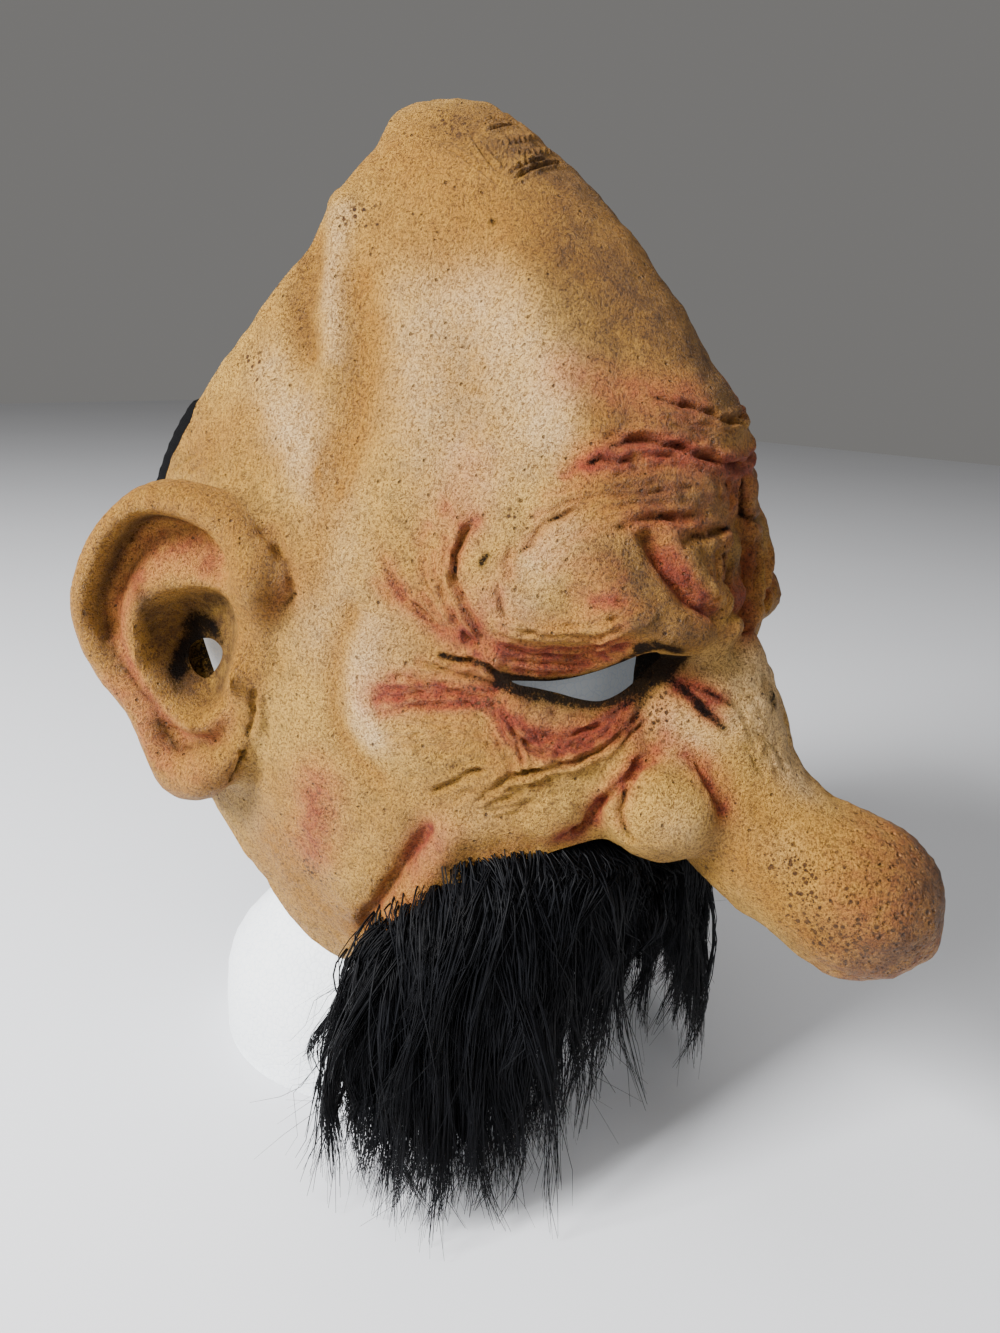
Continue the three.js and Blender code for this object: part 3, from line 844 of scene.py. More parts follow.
def onto_skin(px, py):
    """Where a line of sight through the photograph's pixel meets the skin as it is now."""
    hit = skin_now["tree"].ray_cast(Vector(CAMERA_AT * MM), Vector(photo_ray(px, py)))[0]
    return None if hit is None else np.array(hit) / MM


def traced(pixels, steps=5):
    """A drawn line laid on the skin, up to where it would jump to a part further back."""
    laid = []
    for px, py in spline(pixels, steps):
        hit = onto_skin(px, py)
        if hit is None:
            continue
        if laid and np.linalg.norm(hit - laid[-1]) > LONGEST_STEP:
            break
        laid.append(hit)
    return np.array(laid).reshape(-1, 3)


def mirrored(line, side, drift=0.0):
    """The line on the wanted side; the far one strays a little, as hand work does."""
    if side < 0:
        return line
    sway = np.sin(np.linspace(0, 5, len(line)) + line[0, 2])[:, None] * drift
    return line * (-1, 1, 1) + sway * (0.3, 0.5, 1)


def traced_creases():
    """Every crease on both sides: its line, half width, depth and redness."""
    drawn = [crease for group in CREASE_GROUPS for crease in group] + fine_wrinkles()
    found = []
    for pixels, half_width, depth, redness in drawn:
        line = traced(pixels)
        if len(line) < 3:
            continue
        line = line + 0.3 * np.stack([wavelets(line, 8, seed) for seed in (21, 22, 23)], 1)
        for side in SIDES:
            found.append((mirrored(line, side, 0.7), half_width, depth, redness))
    return found


def fine_wrinkles():
    """Short shallow creases scattered between each pair of guide lines, running with them."""
    scatter = random.Random(31)
    found = []
    for first, second, count, depth, redness in FINE_WRINKLES:
        for k in range(count):
            share = (k + scatter.random()) / count
            start = scatter.uniform(0, 0.6)
            stop = min(1, start + scatter.uniform(0.25, 0.55))
            guides = [spline(guide, 12) for guide in (first, second)]
            places = np.linspace(start, stop, 5)
            rows = [read_along(places, np.linspace(0, 1, len(guide)), guide) for guide in guides]
            pixels = rows[0] * (1 - share) + rows[1] * share
            found.append((pixels, scatter.uniform(0.55, 0.8), depth * scatter.uniform(0.6, 1.3),
                          redness))
    return found


def beside_drawn(points, pixels, margin, drift=0.6, steps=5):
    """For a drawn line, on each side: the points near it and their distances from it."""
    line = traced(pixels, steps)
    if len(line) < 2:
        return
    for side in SIDES:
        yield beside(points, mirrored(line, side, drift), margin)[:2]


def rolled(points, normals):
    """Raises each roll and lowers each hollow, fading away from its line."""
    shift = np.zeros(len(points))
    for pixels, half_width, rise in ROLLS:
        for chosen, gap in beside_drawn(points, pixels, 2.6 * half_width):
            np.add.at(shift, chosen, rise * bell(gap, half_width))
    return points + normals * shift[:, None]


DEEPEST_CREASE = -3.4
HIGHEST_LIP = 1.8


def pressed(points, normals, creases):
    """Presses each crease in, with a slight lip on both sides and fading ends."""
    shift = np.zeros(len(points))
    for line, half_width, depth, _ in creases:
        chosen, gap, place = beside(points, line, 5 * half_width)
        fade = end_fade(place, -0.02, 0.22)
        fade = fade * (0.78 + 0.22 * np.sin(place * 19 + line[0, 2]))
        groove = -bell(gap, half_width, 1.6)
        lip = 0.42 * bell(gap - 2.3 * half_width, 1.3 * half_width)
        np.add.at(shift, chosen, depth * fade * (groove + lip))
    return points + normals * np.clip(shift, DEEPEST_CREASE, HIGHEST_LIP)[:, None]


def wavelets(points, size, seed):
    """Smooth random relief, mostly between -1 and 1, made of waves about size long."""
    count = 40
    waves = np.random.default_rng(seed)
    total = np.zeros(len(points))
    for _ in range(count):
        way = unit(waves.normal(size=3)) * 2 * math.pi / (size * waves.uniform(0.7, 1.5))
        total += np.sin(points @ way + waves.uniform(0, 2 * math.pi))
    return total / math.sqrt(count / 2)


# The stamped frame on the crown: its borders, and rows of plain raised strokes, each row as its
# start, end and count. Fine detail is wanted within the stamp's reach of its middle pixel.
STAMP_MIDDLE = (510, 150)
STAMP_REACH = 16
STAMP_BORDERS = (
    [(437, 142), (455, 152), (478, 168), (503, 188)],
    [(470, 132), (478, 146), (488, 160), (498, 172)],
    [(514, 181), (528, 171), (548, 164), (568, 163)],
    [(506, 176), (524, 165), (546, 159)],
    [(474, 124), (496, 118), (520, 119), (534, 128)],
    [(482, 132), (504, 126), (528, 126)],
)
STAMP_ROWS = (
    ((484, 146), (546, 133), 12), ((488, 157), (562, 149), 14), ((497, 166), (532, 159), 6),
)


def stamped(points, normals):
    """Presses the borders in between two rims, and raises the strokes."""
    shift = np.zeros(len(points))
    for pixels in STAMP_BORDERS:
        line = traced(pixels)
        chosen, gap, place = beside(points, line, 6)
        rim = 0.5 * bell(gap - 1.1, 0.6) - 0.6 * bell(gap, 0.6)
        np.add.at(shift, chosen, end_fade(place, -0.02, 0.1) * rim)
    marks = random.Random(5)
    for start, end, count in STAMP_ROWS:
        for k in range(count):
            share = (k + 0.5) / count
            px = start[0] + (end[0] - start[0]) * share
            py = start[1] + (end[1] - start[1]) * share
            lean = marks.uniform(-2.2, 2.2)
            tall = marks.uniform(2.0, 3.2)
            line = traced([(px - lean, py - tall), (px + lean * 0.3, py + tall)], 2)
            if len(line) < 2:
                continue
            chosen, gap, _ = beside(points, line, 3)
            np.add.at(shift, chosen, 0.8 * bell(gap, 0.55))
    return points + normals * shift[:, None]


def refined_near(piece, wanted):
    """Halves the faces whose points are all wanted, so that fine detail holds there."""
    form = bmesh.new()
    form.from_mesh(piece.data)
    form.verts.ensure_lookup_table()
    edges = [e for e in form.edges if wanted[e.verts[0].index] and wanted[e.verts[1].index]]
    bmesh.ops.subdivide_edges(form, edges=edges, cuts=1, use_grid_fill=True)
    bmesh.ops.triangulate(form, faces=[f for f in form.faces if len(f.verts) > 4])
    form.to_mesh(piece.data)
    form.free()


def detail_zone(points, creases, reach):
    """Where the skin carries fine detail: along the creases, and at the stamp."""
    wanted = np.linalg.norm(points - onto_skin(*STAMP_MIDDLE), axis=1) < STAMP_REACH + reach
    for line, half_width, _, _ in creases:
        chosen, gap, _ = beside(points, line, 8)
        wanted[chosen[gap < half_width + reach]] = True
    return wanted


# Distances from the middle plane: where the face's relief has faded out towards the ear, where
# the ear's own paint begins, and how wide both changes are
EAR_FROM = 79
EAR_PAINT_FROM = 77
EAR_BLEND = 3
# The nose lies this near the middle plane
NOSE_WITHIN = 40
# How far past a crease's half width the mesh is refined, once for each, and then evened out
REFINED_REACHES = (1.9, 0.55)
EVENED_REACH = 1.0


def nose_share(points, low, high):
    """How far each point of the nose is towards its tip."""
    return smoothstep(-points[:, 1], low, high) * (np.abs(points[:, 0]) < NOSE_WITHIN)


def sculpted_skin():
    """Rolls, soft waves, creases and the stamp, each laid on the skin as it then is."""
    creases = traced_creases()
    for reach in REFINED_REACHES:
        refined_near(skin, detail_zone(read_points(skin.data), creases, reach))
    points = read_points(skin.data)
    edges = read_edges(skin.data)
    off_ear = np.clip((EAR_FROM - np.abs(points[:, 0])) / EAR_BLEND, 0, 1)
    points = blurred(points, edges, 6, off_ear * detail_zone(points, creases, EVENED_REACH))
    write_points(skin.data, points)
    points = blurred(rolled(points, read_normals(skin.data)), edges, 1, off_ear)
    write_points(skin.data, points)
    relief = 0.3 * wavelets(folded(points), 26, 1) + 0.2 * wavelets(points, 11, 2)
    relief = relief + 0.12 * wavelets(points, 5.5, 3)
    lumps = 0.2 * wavelets(points, 10, 4) + 0.12 * wavelets(points, 5, 5)
    shift = (0.2 + 0.8 * off_ear) * relief + nose_share(points, 150, 185) * lumps
    write_points(skin.data, points + read_normals(skin.data) * shift[:, None])
    skin_now["tree"] = tree_of(skin)
    creases = traced_creases()
    points = pressed(read_points(skin.data), read_normals(skin.data), creases)
    points = stamped(points, read_normals(skin.data))
    write_points(skin.data, points)
    skin_now["tree"] = tree_of(skin)
    return creases


CREASES = sculpted_skin()

# Cuts: everything behind the rear edge and under the mouth arch, in side view
REAR_EDGE = [
    (44, 63), (34, 64), (25, 69), (14, 79), (6, 92), (-3, 104), (-13, 118), (-28, 140),
    (-37, 165), (-40, 190), (-38, 212), (-32, 229), (-24, 243), (-17, 257), (-9, 269), (1, 283),
    (9, 297), (15, 313), (18, 328), (17, 345),
]
MOUTH_ARCH = [
    (142, 116), (132, 124), (124, 129), (115, 131), (98, 123), (89, 116), (78, 107), (71, 98),
    (62, 88), (53, 76), (44, 63),
]
EYE_HOLE = [
    (512, 681), (530, 681), (550, 681), (572, 678), (598, 671), (620, 663), (640, 655),
    (656, 652), (660, 657), (648, 668), (634, 682), (618, 694), (600, 701), (580, 699),
    (558, 693), (536, 688), (520, 685),
]
EAR_HOLE = [
    (205, 638), (214, 640), (222, 649), (221, 660), (213, 673), (205, 678), (195, 672),
    (189, 660), (190, 648), (196, 641),
]
# Round the front of the face, well clear of it, from the rear edge to the mouth arch
PAST_THE_FRONT = [(17, 345), (40, 420), (200, 420), (160, 100)]
ALL_ROUND = [(-160, -20), (-160, 420), (200, 420), (200, -20)]
# The cut stops this far outside the face form, so that the ears and the nose stay whole
CUT_CLEAR = 2.2
HOLLOW_VOXEL = 3
# The middles of the eye slit and the ear hole, and how far each cut goes before and behind them
EYE_CUT = (np.array([-38, -108, 181]), 40, 22)
EAR_CUT = (np.array([-76, -4, 175]), 30, 12)
# The inside is drawn in this far past a crease's own width, and never by more than its limit
INSIDE_SPREAD = 5
DRAWN_IN_LIMIT = 7


def extruded(form, ring):
    """Faces a ring of places in metres, extrudes the face and returns the new points."""
    face = form.faces.new([form.verts.new(place) for place in ring])
    grown = bmesh.ops.extrude_face_region(form, geom=[face])["geom"]
    return [g for g in grown if isinstance(g, bmesh.types.BMVert)]


def closed_piece(form, name):
    """An extruded form as a piece of triangles that face outward."""
    bmesh.ops.triangulate(form, faces=form.faces)
    bmesh.ops.recalc_face_normals(form, faces=form.faces)
    return piece_of(form, name)


def side_slab(name, outline, half_width):
    """A slab right across the head, cut to an outline of (forward, height)."""
    form = bmesh.new()
    moved = extruded(form, [(-half_width * MM, -f * MM, z * MM) for f, z in outline])
    bmesh.ops.translate(form, verts=moved, vec=(2 * half_width * MM, 0, 0))
    return closed_piece(form, name)


def sight_prism(name, pixels, near, far, side):
    """A prism along the lines of sight through a loop of pixels, on either side."""
    form = bmesh.new()
    loop = spline(pixels, 4, closed=True)
    moved = extruded(form, [Vector(CAMERA_AT + photo_ray(*p) * near) * MM for p in loop])
    bmesh.ops.scale(form, verts=moved, vec=Vector([far / near] * 3),
                    space=Matrix.Translation(-CAMERA_AT * MM))
    if side > 0:
        bmesh.ops.scale(form, verts=form.verts, vec=(-1, 1, 1))
    return closed_piece(form, name)


def drawn_in(points, normals):
    """Keeps the inside clear of the creases and hollows pressed in from outside."""
    shift = np.zeros(len(points))
    for line, half_width, depth, _ in CREASES:
        chosen, gap, _ = beside(points, line, 14)
        np.minimum.at(shift, chosen, -depth * bell(gap, half_width + INSIDE_SPREAD, 4))
    for pixels, half_width, rise in ROLLS:
        for chosen, gap in beside_drawn(points, pixels, 2 * half_width + 10):
            np.add.at(shift, chosen, min(rise, 0) * bell(gap, half_width + INSIDE_SPREAD))
    return points + normals * np.maximum(shift, -DRAWN_IN_LIMIT)[:, None]


def trimmed_skin():
    """Cuts the skin to its edges, hollows it and opens the eyes and the ears."""
    kept = [*spline(REAR_EDGE, 4), *spline(PAST_THE_FRONT, 1)[1:], *spline(MOUTH_ARCH, 4)[:-1]]
    region = side_slab("region", kept, 150)
    outside = side_slab("outside", ALL_ROUND, 149)
    cut_by(outside, region)
    reach = piece_of(face_form(-CUT_CLEAR, 120, 90), "reach")
    cut_by(outside, reach, "INTERSECT")
    cut_by(skin, outside)
    hollow = remeshed(gathered("hollow", [face_form(LATEX_WALL, 76, 56),
                                          nose_form(LATEX_WALL, 30, 32)]), HOLLOW_VOXEL)
    points = blurred(read_points(hollow.data), read_edges(hollow.data), 3, 1.0)
    write_points(hollow.data, points)
    write_points(hollow.data, drawn_in(points, read_normals(hollow.data)))
    cut_by(skin, hollow)
    for side in SIDES:
        for name, pixels, (middle, before, behind) in (("eye", EYE_HOLE, EYE_CUT),
                                                       ("ear", EAR_HOLE, EAR_CUT)):
            depth = CAMERA_FORWARD @ (middle - CAMERA_AT)
            cut_by(skin, sight_prism(name, pixels, depth - before, depth + behind, side))


trimmed_skin()
keep_largest(skin)


# Paint on the skin, painted highlights and shade among it: soft airbrushed areas, as (pixels, radius,
# amount) on both sides
BLUSH = (
    ([(668, 558), (682, 584), (704, 608)], 4.5, 0.7), ([(582, 603), (612, 600)], 4, 0.45),
    ([(500, 655), (560, 662), (615, 652)], 6, 0.65), ([(488, 600), (470, 640)], 7, 0.5),
    ([(470, 470), (455, 520)], 8, 0.4), ([(370, 694), (440, 692), (495, 694)], 6.5, 0.55),
    ([(515, 725), (565, 742), (620, 722)], 6, 0.75), ([(682, 684), (712, 700)], 4.5, 0.9),
    ([(690, 758), (716, 785), (722, 810)], 4.5, 0.6), ([(655, 750), (625, 780)], 4.5, 0.45),
    ([(446, 842), (418, 888), (392, 930)], 6.5, 0.5),
    ([(565, 838), (520, 848), (480, 866)], 6, 0.35), ([(318, 785), (312, 850)], 8.5, 0.85),
    ([(570, 372), (620, 388), (690, 396)], 7, 0.6), ([(585, 462), (640, 452), (730, 465)], 5, 0.75),
    ([(640, 525), (700, 522)], 4.5, 0.5), ([(600, 800), (570, 832)], 5, 0.7),
    ([(450, 900), (400, 935)], 4.5, 0.8), ([(430, 826), (362, 925)], 4.5, 0.55),
    ([(725, 480), (748, 520)], 6, 0.35), ([(395, 590), (450, 636)], 5, 0.4),
    ([(660, 715), (655, 750)], 7, 0.3), ([(740, 560), (745, 630)], 5, 0.5),
    ([(278, 590), (270, 612)], 4, 0.4),
)
# Pale paint together with painted highlights: lighter where light falls, on the nose's bridge, the side
# of the forehead and the rolls of the face
PALE_AND_HIGHLIGHTS = (
    ([(372, 628), (360, 670), (358, 710), (372, 740)], 5, 0.8),
    ([(752, 668), (768, 710), (796, 768)], 8, 0.9), ([(235, 790), (262, 830)], 8, 0.4),
    ([(480, 285), (505, 330), (545, 430)], 11, 0.75),
    ([(425, 300), (430, 400), (470, 480)], 13, 0.6), ([(300, 420), (330, 500)], 9, 0.45),
    ([(540, 560), (580, 530), (592, 550)], 7, 0.7), ([(400, 640), (370, 720)], 9, 0.3),
    ([(560, 425), (570, 360)], 6, 0.4), ([(500, 600), (520, 610)], 6, 0.5),
    ([(270, 370), (280, 410), (310, 470)], 8, 0.5), ([(665, 720), (690, 745)], 7, 0.7),
    ([(700, 670), (730, 715)], 8, 0.5), ([(340, 560), (320, 640)], 10, 0.35),
    ([(540, 715), (560, 715)], 4, 0.3), ([(342, 212), (334, 250), (332, 300), (334, 350)], 4, 0.75),
    ([(680, 830), (780, 850)], 7, 0.3), ([(420, 840), (480, 820)], 8, 0.25),
)
# Ochre paint; on the right of the forehead and brow and along the valleys and folds it also darkens
# what is turned from the lamp, a painted shade
OCHRE = (
    ([(342, 455), (330, 500), (319, 545), (310, 580)], 6, 0.8),
    ([(352, 612), (338, 650), (335, 700), (349, 748), (380, 778)], 3.5, 0.9),
    ([(520, 130), (600, 220), (680, 310)], 14, 0.8), ([(400, 880), (340, 950)], 10, 0.5),
    ([(740, 860), (800, 930), (860, 960)], 8, 0.5), ([(700, 780), (760, 830)], 8, 0.35),
    ([(362, 285), (369, 335), (362, 395), (350, 440), (333, 476)], 7, 1.0),
    ([(316, 245), (308, 285), (303, 318), (312, 352)], 6, 1.0),
    ([(130, 500), (200, 490), (260, 540)], 7, 0.5), ([(400, 150), (480, 210), (560, 250)], 17, 0.9),
    ([(380, 240), (440, 260)], 10, 0.5), ([(500, 690), (560, 715)], 5, 0.4),
    ([(610, 640), (560, 640)], 6, 0.5), ([(640, 280), (690, 380)], 14, 0.9),
    ([(620, 430), (700, 430)], 8, 0.7), ([(600, 490), (700, 490)], 8, 0.7),
    ([(600, 560), (640, 590), (700, 630)], 9, 0.8), ([(440, 720), (480, 740), (500, 770)], 9, 0.5),
    ([(420, 640), (380, 640)], 8, 0.4), ([(240, 420), (200, 450)], 8, 0.6),
    ([(600, 420), (600, 500)], 9, 0.7), ([(450, 790), (520, 820), (400, 900)], 12, 0.4),
    ([(370, 955), (320, 905), (280, 850)], 11, 0.8), ([(770, 790), (820, 850), (850, 900)], 9, 0.5),
    ([(740, 850), (800, 930)], 8, 0.5), ([(640, 640), (710, 640)], 6, 0.5),
    ([(280, 800), (270, 860)], 8, 0.4), ([(450, 500), (440, 550)], 7, 0.3),
)
# Brown paint together with painted shade: the side of the forehead and crown turned from the lamp, and
# the areas under the eye and under the nose, are darkened
UMBER_AND_SHADE = (
    ([(296, 205), (254, 270), (216, 328), (182, 378)], 3, 0.7), ([(300, 208), (330, 165)], 4, 0.5),
    ([(540, 180), (590, 240), (650, 310)], 11, 0.6),
    ([(138, 580), (146, 604), (162, 632)], 3.5, 0.9),
    ([(820, 935), (870, 966), (905, 950)], 8, 0.5), ([(930, 890), (940, 920)], 6, 0.5),
    ([(560, 245), (590, 320), (615, 400)], 9, 0.6), ([(620, 290), (660, 350), (700, 400)], 13, 0.5),
    ([(610, 560), (630, 590), (640, 620)], 6, 0.5), ([(655, 500), (700, 500)], 7, 0.35),
    ([(650, 625), (700, 640)], 6, 0.45), ([(655, 548), (662, 570)], 3, 0.8),
    ([(515, 702), (560, 716), (605, 714)], 5, 0.6), ([(660, 662), (700, 668)], 4, 0.5),
    ([(600, 560), (640, 600), (680, 620)], 10, 0.4),
    ([(690, 440), (720, 500), (725, 580)], 10, 0.65), ([(640, 480), (700, 560)], 9, 0.4),
    ([(480, 110), (520, 140), (580, 190)], 9, 0.5), ([(640, 420), (690, 425)], 6, 0.55),
    ([(620, 485), (700, 485)], 6, 0.5), ([(655, 520), (700, 516)], 3.5, 0.6),
    ([(650, 540), (664, 575)], 4, 0.5), ([(560, 250), (560, 250)], 8, 0.2),
    ([(312, 262), (303, 300), (306, 340)], 5, 0.6), ([(446, 120), (470, 140), (520, 150)], 7, 0.6),
    ([(890, 880), (920, 900), (890, 950)], 11, 0.55), ([(640, 575), (640, 600)], 5, 0.4),
    ([(700, 360), (735, 400)], 9, 0.4), ([(420, 850), (370, 920)], 3.5, 0.4),
    ([(250, 500), (285, 560), (275, 600)], 4, 0.4), ([(460, 340), (465, 420)], 5, 0.25),
    ([(470, 755), (420, 760)], 8, 0.25), ([(742, 520), (744, 640)], 4, 0.5),
    ([(735, 520), (715, 560)], 5, 0.3),
)
# Black paint together with painted shade: black at the eye slits and the ear canals, and black in the
# gaps under the brow and the eye and along creases, where shade falls
INK_AND_SHADE = (
    ([(137, 588), (142, 606), (153, 630)], 3.0, 0.45),
    ([(500, 676), (530, 680), (572, 679), (604, 670), (640, 652)], 1.3, 1.1),
    ([(504, 682), (540, 693), (580, 701), (612, 698), (640, 680), (662, 660)], 1.5, 1.2),
    ([(530, 692), (575, 705), (605, 706), (634, 692)], 3.6, 0.55),
    ([(636, 664), (652, 660), (668, 656)], 5.0, 1.2), ([(504, 684), (528, 692)], 3.0, 0.6),
    ([(640, 648), (662, 646), (680, 652)], 2.0, 1.2),
    ([(442, 656), (462, 660), (482, 664), (502, 677)], 1.4, 0.75),
    ([(455, 672), (475, 678), (496, 685)], 1.2, 0.5), ([(418, 664), (446, 669)], 1.2, 0.4),
    ([(646, 690), (664, 672), (682, 660)], 2.8, 0.6),
    ([(618, 738), (632, 722), (640, 706)], 2.4, 0.5),
    ([(700, 704), (712, 717), (722, 727)], 2.0, 0.7), ([(686, 690), (704, 710)], 2.2, 0.5),
    ([(708, 690), (722, 699), (732, 706)], 1.5, 0.55), ([(664, 676), (684, 692)], 2.6, 0.45),
    ([(190, 625), (196, 618), (206, 622)], 3.6, 0.8),
    ([(198, 640), (184, 650), (180, 668)], 3.2, 1.1), ([(214, 628), (220, 640)], 2.4, 0.7),
    ([(172, 672), (178, 690)], 2.4, 0.6), ([(481, 565), (487, 556)], 1.3, 0.75),
    ([(620, 528), (640, 519), (664, 517), (698, 515)], 1.3, 0.4),
    ([(690, 534), (704, 538), (718, 536)], 0.8, 0.25),
    ([(612, 444), (650, 440), (680, 447), (708, 457)], 1.1, 0.5),
    ([(588, 462), (604, 459), (632, 462)], 1.1, 0.5),
    ([(652, 398), (684, 405), (712, 412)], 1.0, 0.5), ([(742, 480), (741, 512)], 1.2, 0.7),
    ([(740, 516), (762, 518)], 1.1, 0.6), ([(723, 552), (726, 570), (724, 582)], 1.1, 0.4),
    ([(462, 536), (456, 560), (457, 580)], 1.3, 0.5), ([(764, 676), (776, 706)], 1.6, 0.5),
    ([(500, 516), (520, 509)], 1.8, 0.35), ([(552, 519), (566, 513)], 1.1, 0.45),
    ([(520, 552), (532, 545)], 1.1, 0.4), ([(498, 598), (504, 614)], 1.0, 0.4),
    ([(466, 610), (482, 636)], 1.0, 0.4), ([(250, 690), (247, 735)], 1.0, 0.55),
    ([(243, 752), (230, 780)], 1.0, 0.7), ([(254, 600), (262, 604)], 1.8, 0.45),
    ([(190, 725), (196, 738)], 1.4, 0.4), ([(490, 219), (493, 223)], 1.0, 1.1),
    ([(415, 437), (417, 440)], 0.9, 0.9), ([(628, 836), (621, 812), (625, 790)], 1.0, 0.5),
    ([(640, 845), (690, 862)], 1.2, 0.4),
)
SPECKLE = (
    ([(780, 862), (800, 885), (806, 925)], 6.5, 1.0),
    ([(830, 860), (850, 900), (840, 940)], 9, 0.55), ([(446, 118), (458, 138)], 5, 1.0),
    ([(350, 214), (375, 217)], 4.5, 1.0), ([(250, 358), (264, 378)], 4.5, 0.9),
    ([(305, 865), (318, 875)], 4.5, 0.9), ([(318, 795), (330, 815)], 6, 0.5),
    ([(222, 555), (216, 558)], 3, 0.8), ([(520, 512), (515, 516)], 5, 0.7),
    ([(890, 930), (870, 950)], 8, 0.5), ([(630, 600), (620, 560)], 9, 0.35),
    ([(655, 690), (665, 725)], 6, 0.8), ([(905, 860), (925, 910)], 8, 0.5),
    ([(600, 280), (620, 340)], 11, 0.35), ([(470, 690), (500, 710)], 5, 0.6),
    ([(395, 575), (420, 600)], 6, 0.5),
)


def painted(points, areas):
    """How much of a paint each point has, from its airbrushed areas."""
    total = np.zeros(len(points))
    for pixels, radius, amount in areas:
        for chosen, gap in beside_drawn(points, pixels, 2.6 * radius, 0.8, 4):
            np.add.at(total, chosen, amount * bell(gap, radius))
    return total


def crease_paint(points, creases):
    """Red paint caught in the creases, and painted shade down their middles, darker where they are
    deeper.
    """
    red = np.zeros(len(points))
    crease_shade = np.zeros(len(points))
    for line, half_width, depth, redness in creases:
        chosen, gap, place = beside(points, line, 4 * half_width + 3)
        fade = end_fade(place, -0.05, 0.15)
        wide = bell(gap, 1.6 * half_width + 1.2)
        narrow = bell(gap, 0.55 * half_width)
        np.maximum.at(red, chosen, redness * fade * wide)
        # Painted shade: the deeper the crease, the darker
        np.maximum.at(crease_shade, chosen, np.minimum(1, depth / 1.6) * fade * narrow)
    return red, crease_shade


def ear_paint(points):
    """Pink of the ears, and the painted shade in their groove, bowl and canal, by the points' places in
    the ear's plane.
    """
    right = folded(points) * (-1, 1, 1) - EAR_ROOT
    flat = np.stack([right @ EAR_BACK, right @ EAR_UP], 1)
    outward = right @ EAR_OUT
    chosen = (outward > -14) & (depth_in_loop(flat, EAR_OUTLINE) > 0) & (flat[:, 0] > 3)
    in_helix = depth_in_loop(flat, HELIX_INNER_EDGE)
    in_concha = depth_in_loop(flat, CONCHA_EDGE)
    between = (in_helix > -0.8) & (in_concha < 0)
    share = across_ridge(in_helix, in_concha)
    pink = np.where(between, np.sin(math.pi * np.clip(share * 1.15, 0, 1)) ** 0.7, 0)
    lower_roll = smoothstep(-flat[:, 1], 2, 12) * smoothstep(flat[:, 0], 26, 36)
    pink = np.where((in_helix < 0) & (in_helix > -7), np.maximum(pink, 0.75 * lower_roll), pink)
    pink = pink * smoothstep(flat[:, 0], 12, 20)
    # The groove, the bowl and the canal are darkened in paint_skin, as painted shade
    groove = bell(in_helix - 0.6, 1.3) * smoothstep(flat[:, 0], 14, 30)
    bowl = smoothstep(in_concha, 0.5, 6)
    canal = hill(flat, ear_spot(188, 652), (5, 8))
    lobe = hill(flat, (27, -36), (8, 7)) * 0.5
    return [np.where(chosen, paint, 0) for paint in (np.maximum(pink, lobe), groove, bowl, canal)]


# The eye and the ear canal: a pixel inside each, and how far its painted shade reaches
SHADED_HOLES = (((590, 668), 75), ((204, 655), 9))


def shade_in_holes(points):
    """Painted shade: black over the rims of the eye holes and the ear canals, and on the inside near
    them.
    """
    inside = smoothstep(distance_to(skin_now["tree"], points), 0.7, 2.0)
    near = np.zeros(len(points))
    for pixel, reach in SHADED_HOLES:
        gap = np.linalg.norm(folded(points) * (-1, 1, 1) - onto_skin(*pixel), axis=1)
        near = np.maximum(near, bell(gap, reach, 4))
    return inside * near


def paint_skin():
    """Lays every paint down as a value on the skin's points, painted highlights and shade among them.
    """
    mesh = skin.data
    points = read_points(mesh)
    red, crease_shade = crease_paint(points, CREASES)
    pink, groove, bowl, canal = ear_paint(points)
    ear_zone = np.clip((np.abs(points[:, 0]) - EAR_PAINT_FROM) / EAR_BLEND, 0, 1)
    blush = np.clip(painted(points, BLUSH) + 0.85 * red, 0, 1.2)
    store(mesh, "blush", np.maximum(blush * (1 - 0.6 * ear_zone), 0.75 * pink))
    # The pale paint carries painted highlights as well
    store(mesh, "pale", np.clip(painted(points, PALE_AND_HIGHLIGHTS), 0, 1))
    # The ochre carries painted shade in places as well
    store(mesh, "ochre", np.clip(painted(points, OCHRE) + 0.9 * ear_zone * (1 - pink), 0, 1))
    # Umber paint together with painted shade, also in the ears' groove and bowl
    umber_and_shade = painted(points, UMBER_AND_SHADE) + 1.2 * groove + 1.4 * bowl
    store(mesh, "umber_and_shade", np.clip(umber_and_shade, 0, 1))
    # Black ink together with painted shade: down the creases by their depth, in the ears' groove and
    # canal, and in the eye and ear holes
    ink_and_shade = painted(points, INK_AND_SHADE) + 0.7 * crease_shade + 0.45 * groove + 0.4 * canal * bowl
    store(mesh, "ink_and_shade", np.clip(ink_and_shade + shade_in_holes(points), 0, 1))
    store(mesh, "speckle", np.clip(painted(points, SPECKLE), 0, 1))
    store(mesh, "nose_tip", nose_share(points, 168, 200))


paint_skin()
smooth_shaded(skin)


# Materials
def fill(node, **sockets):
    """Sets a node's constant inputs, with _ for the space in a name."""
    for name, value in sockets.items():
        node.inputs[name.replace("_", " ")].default_value = value


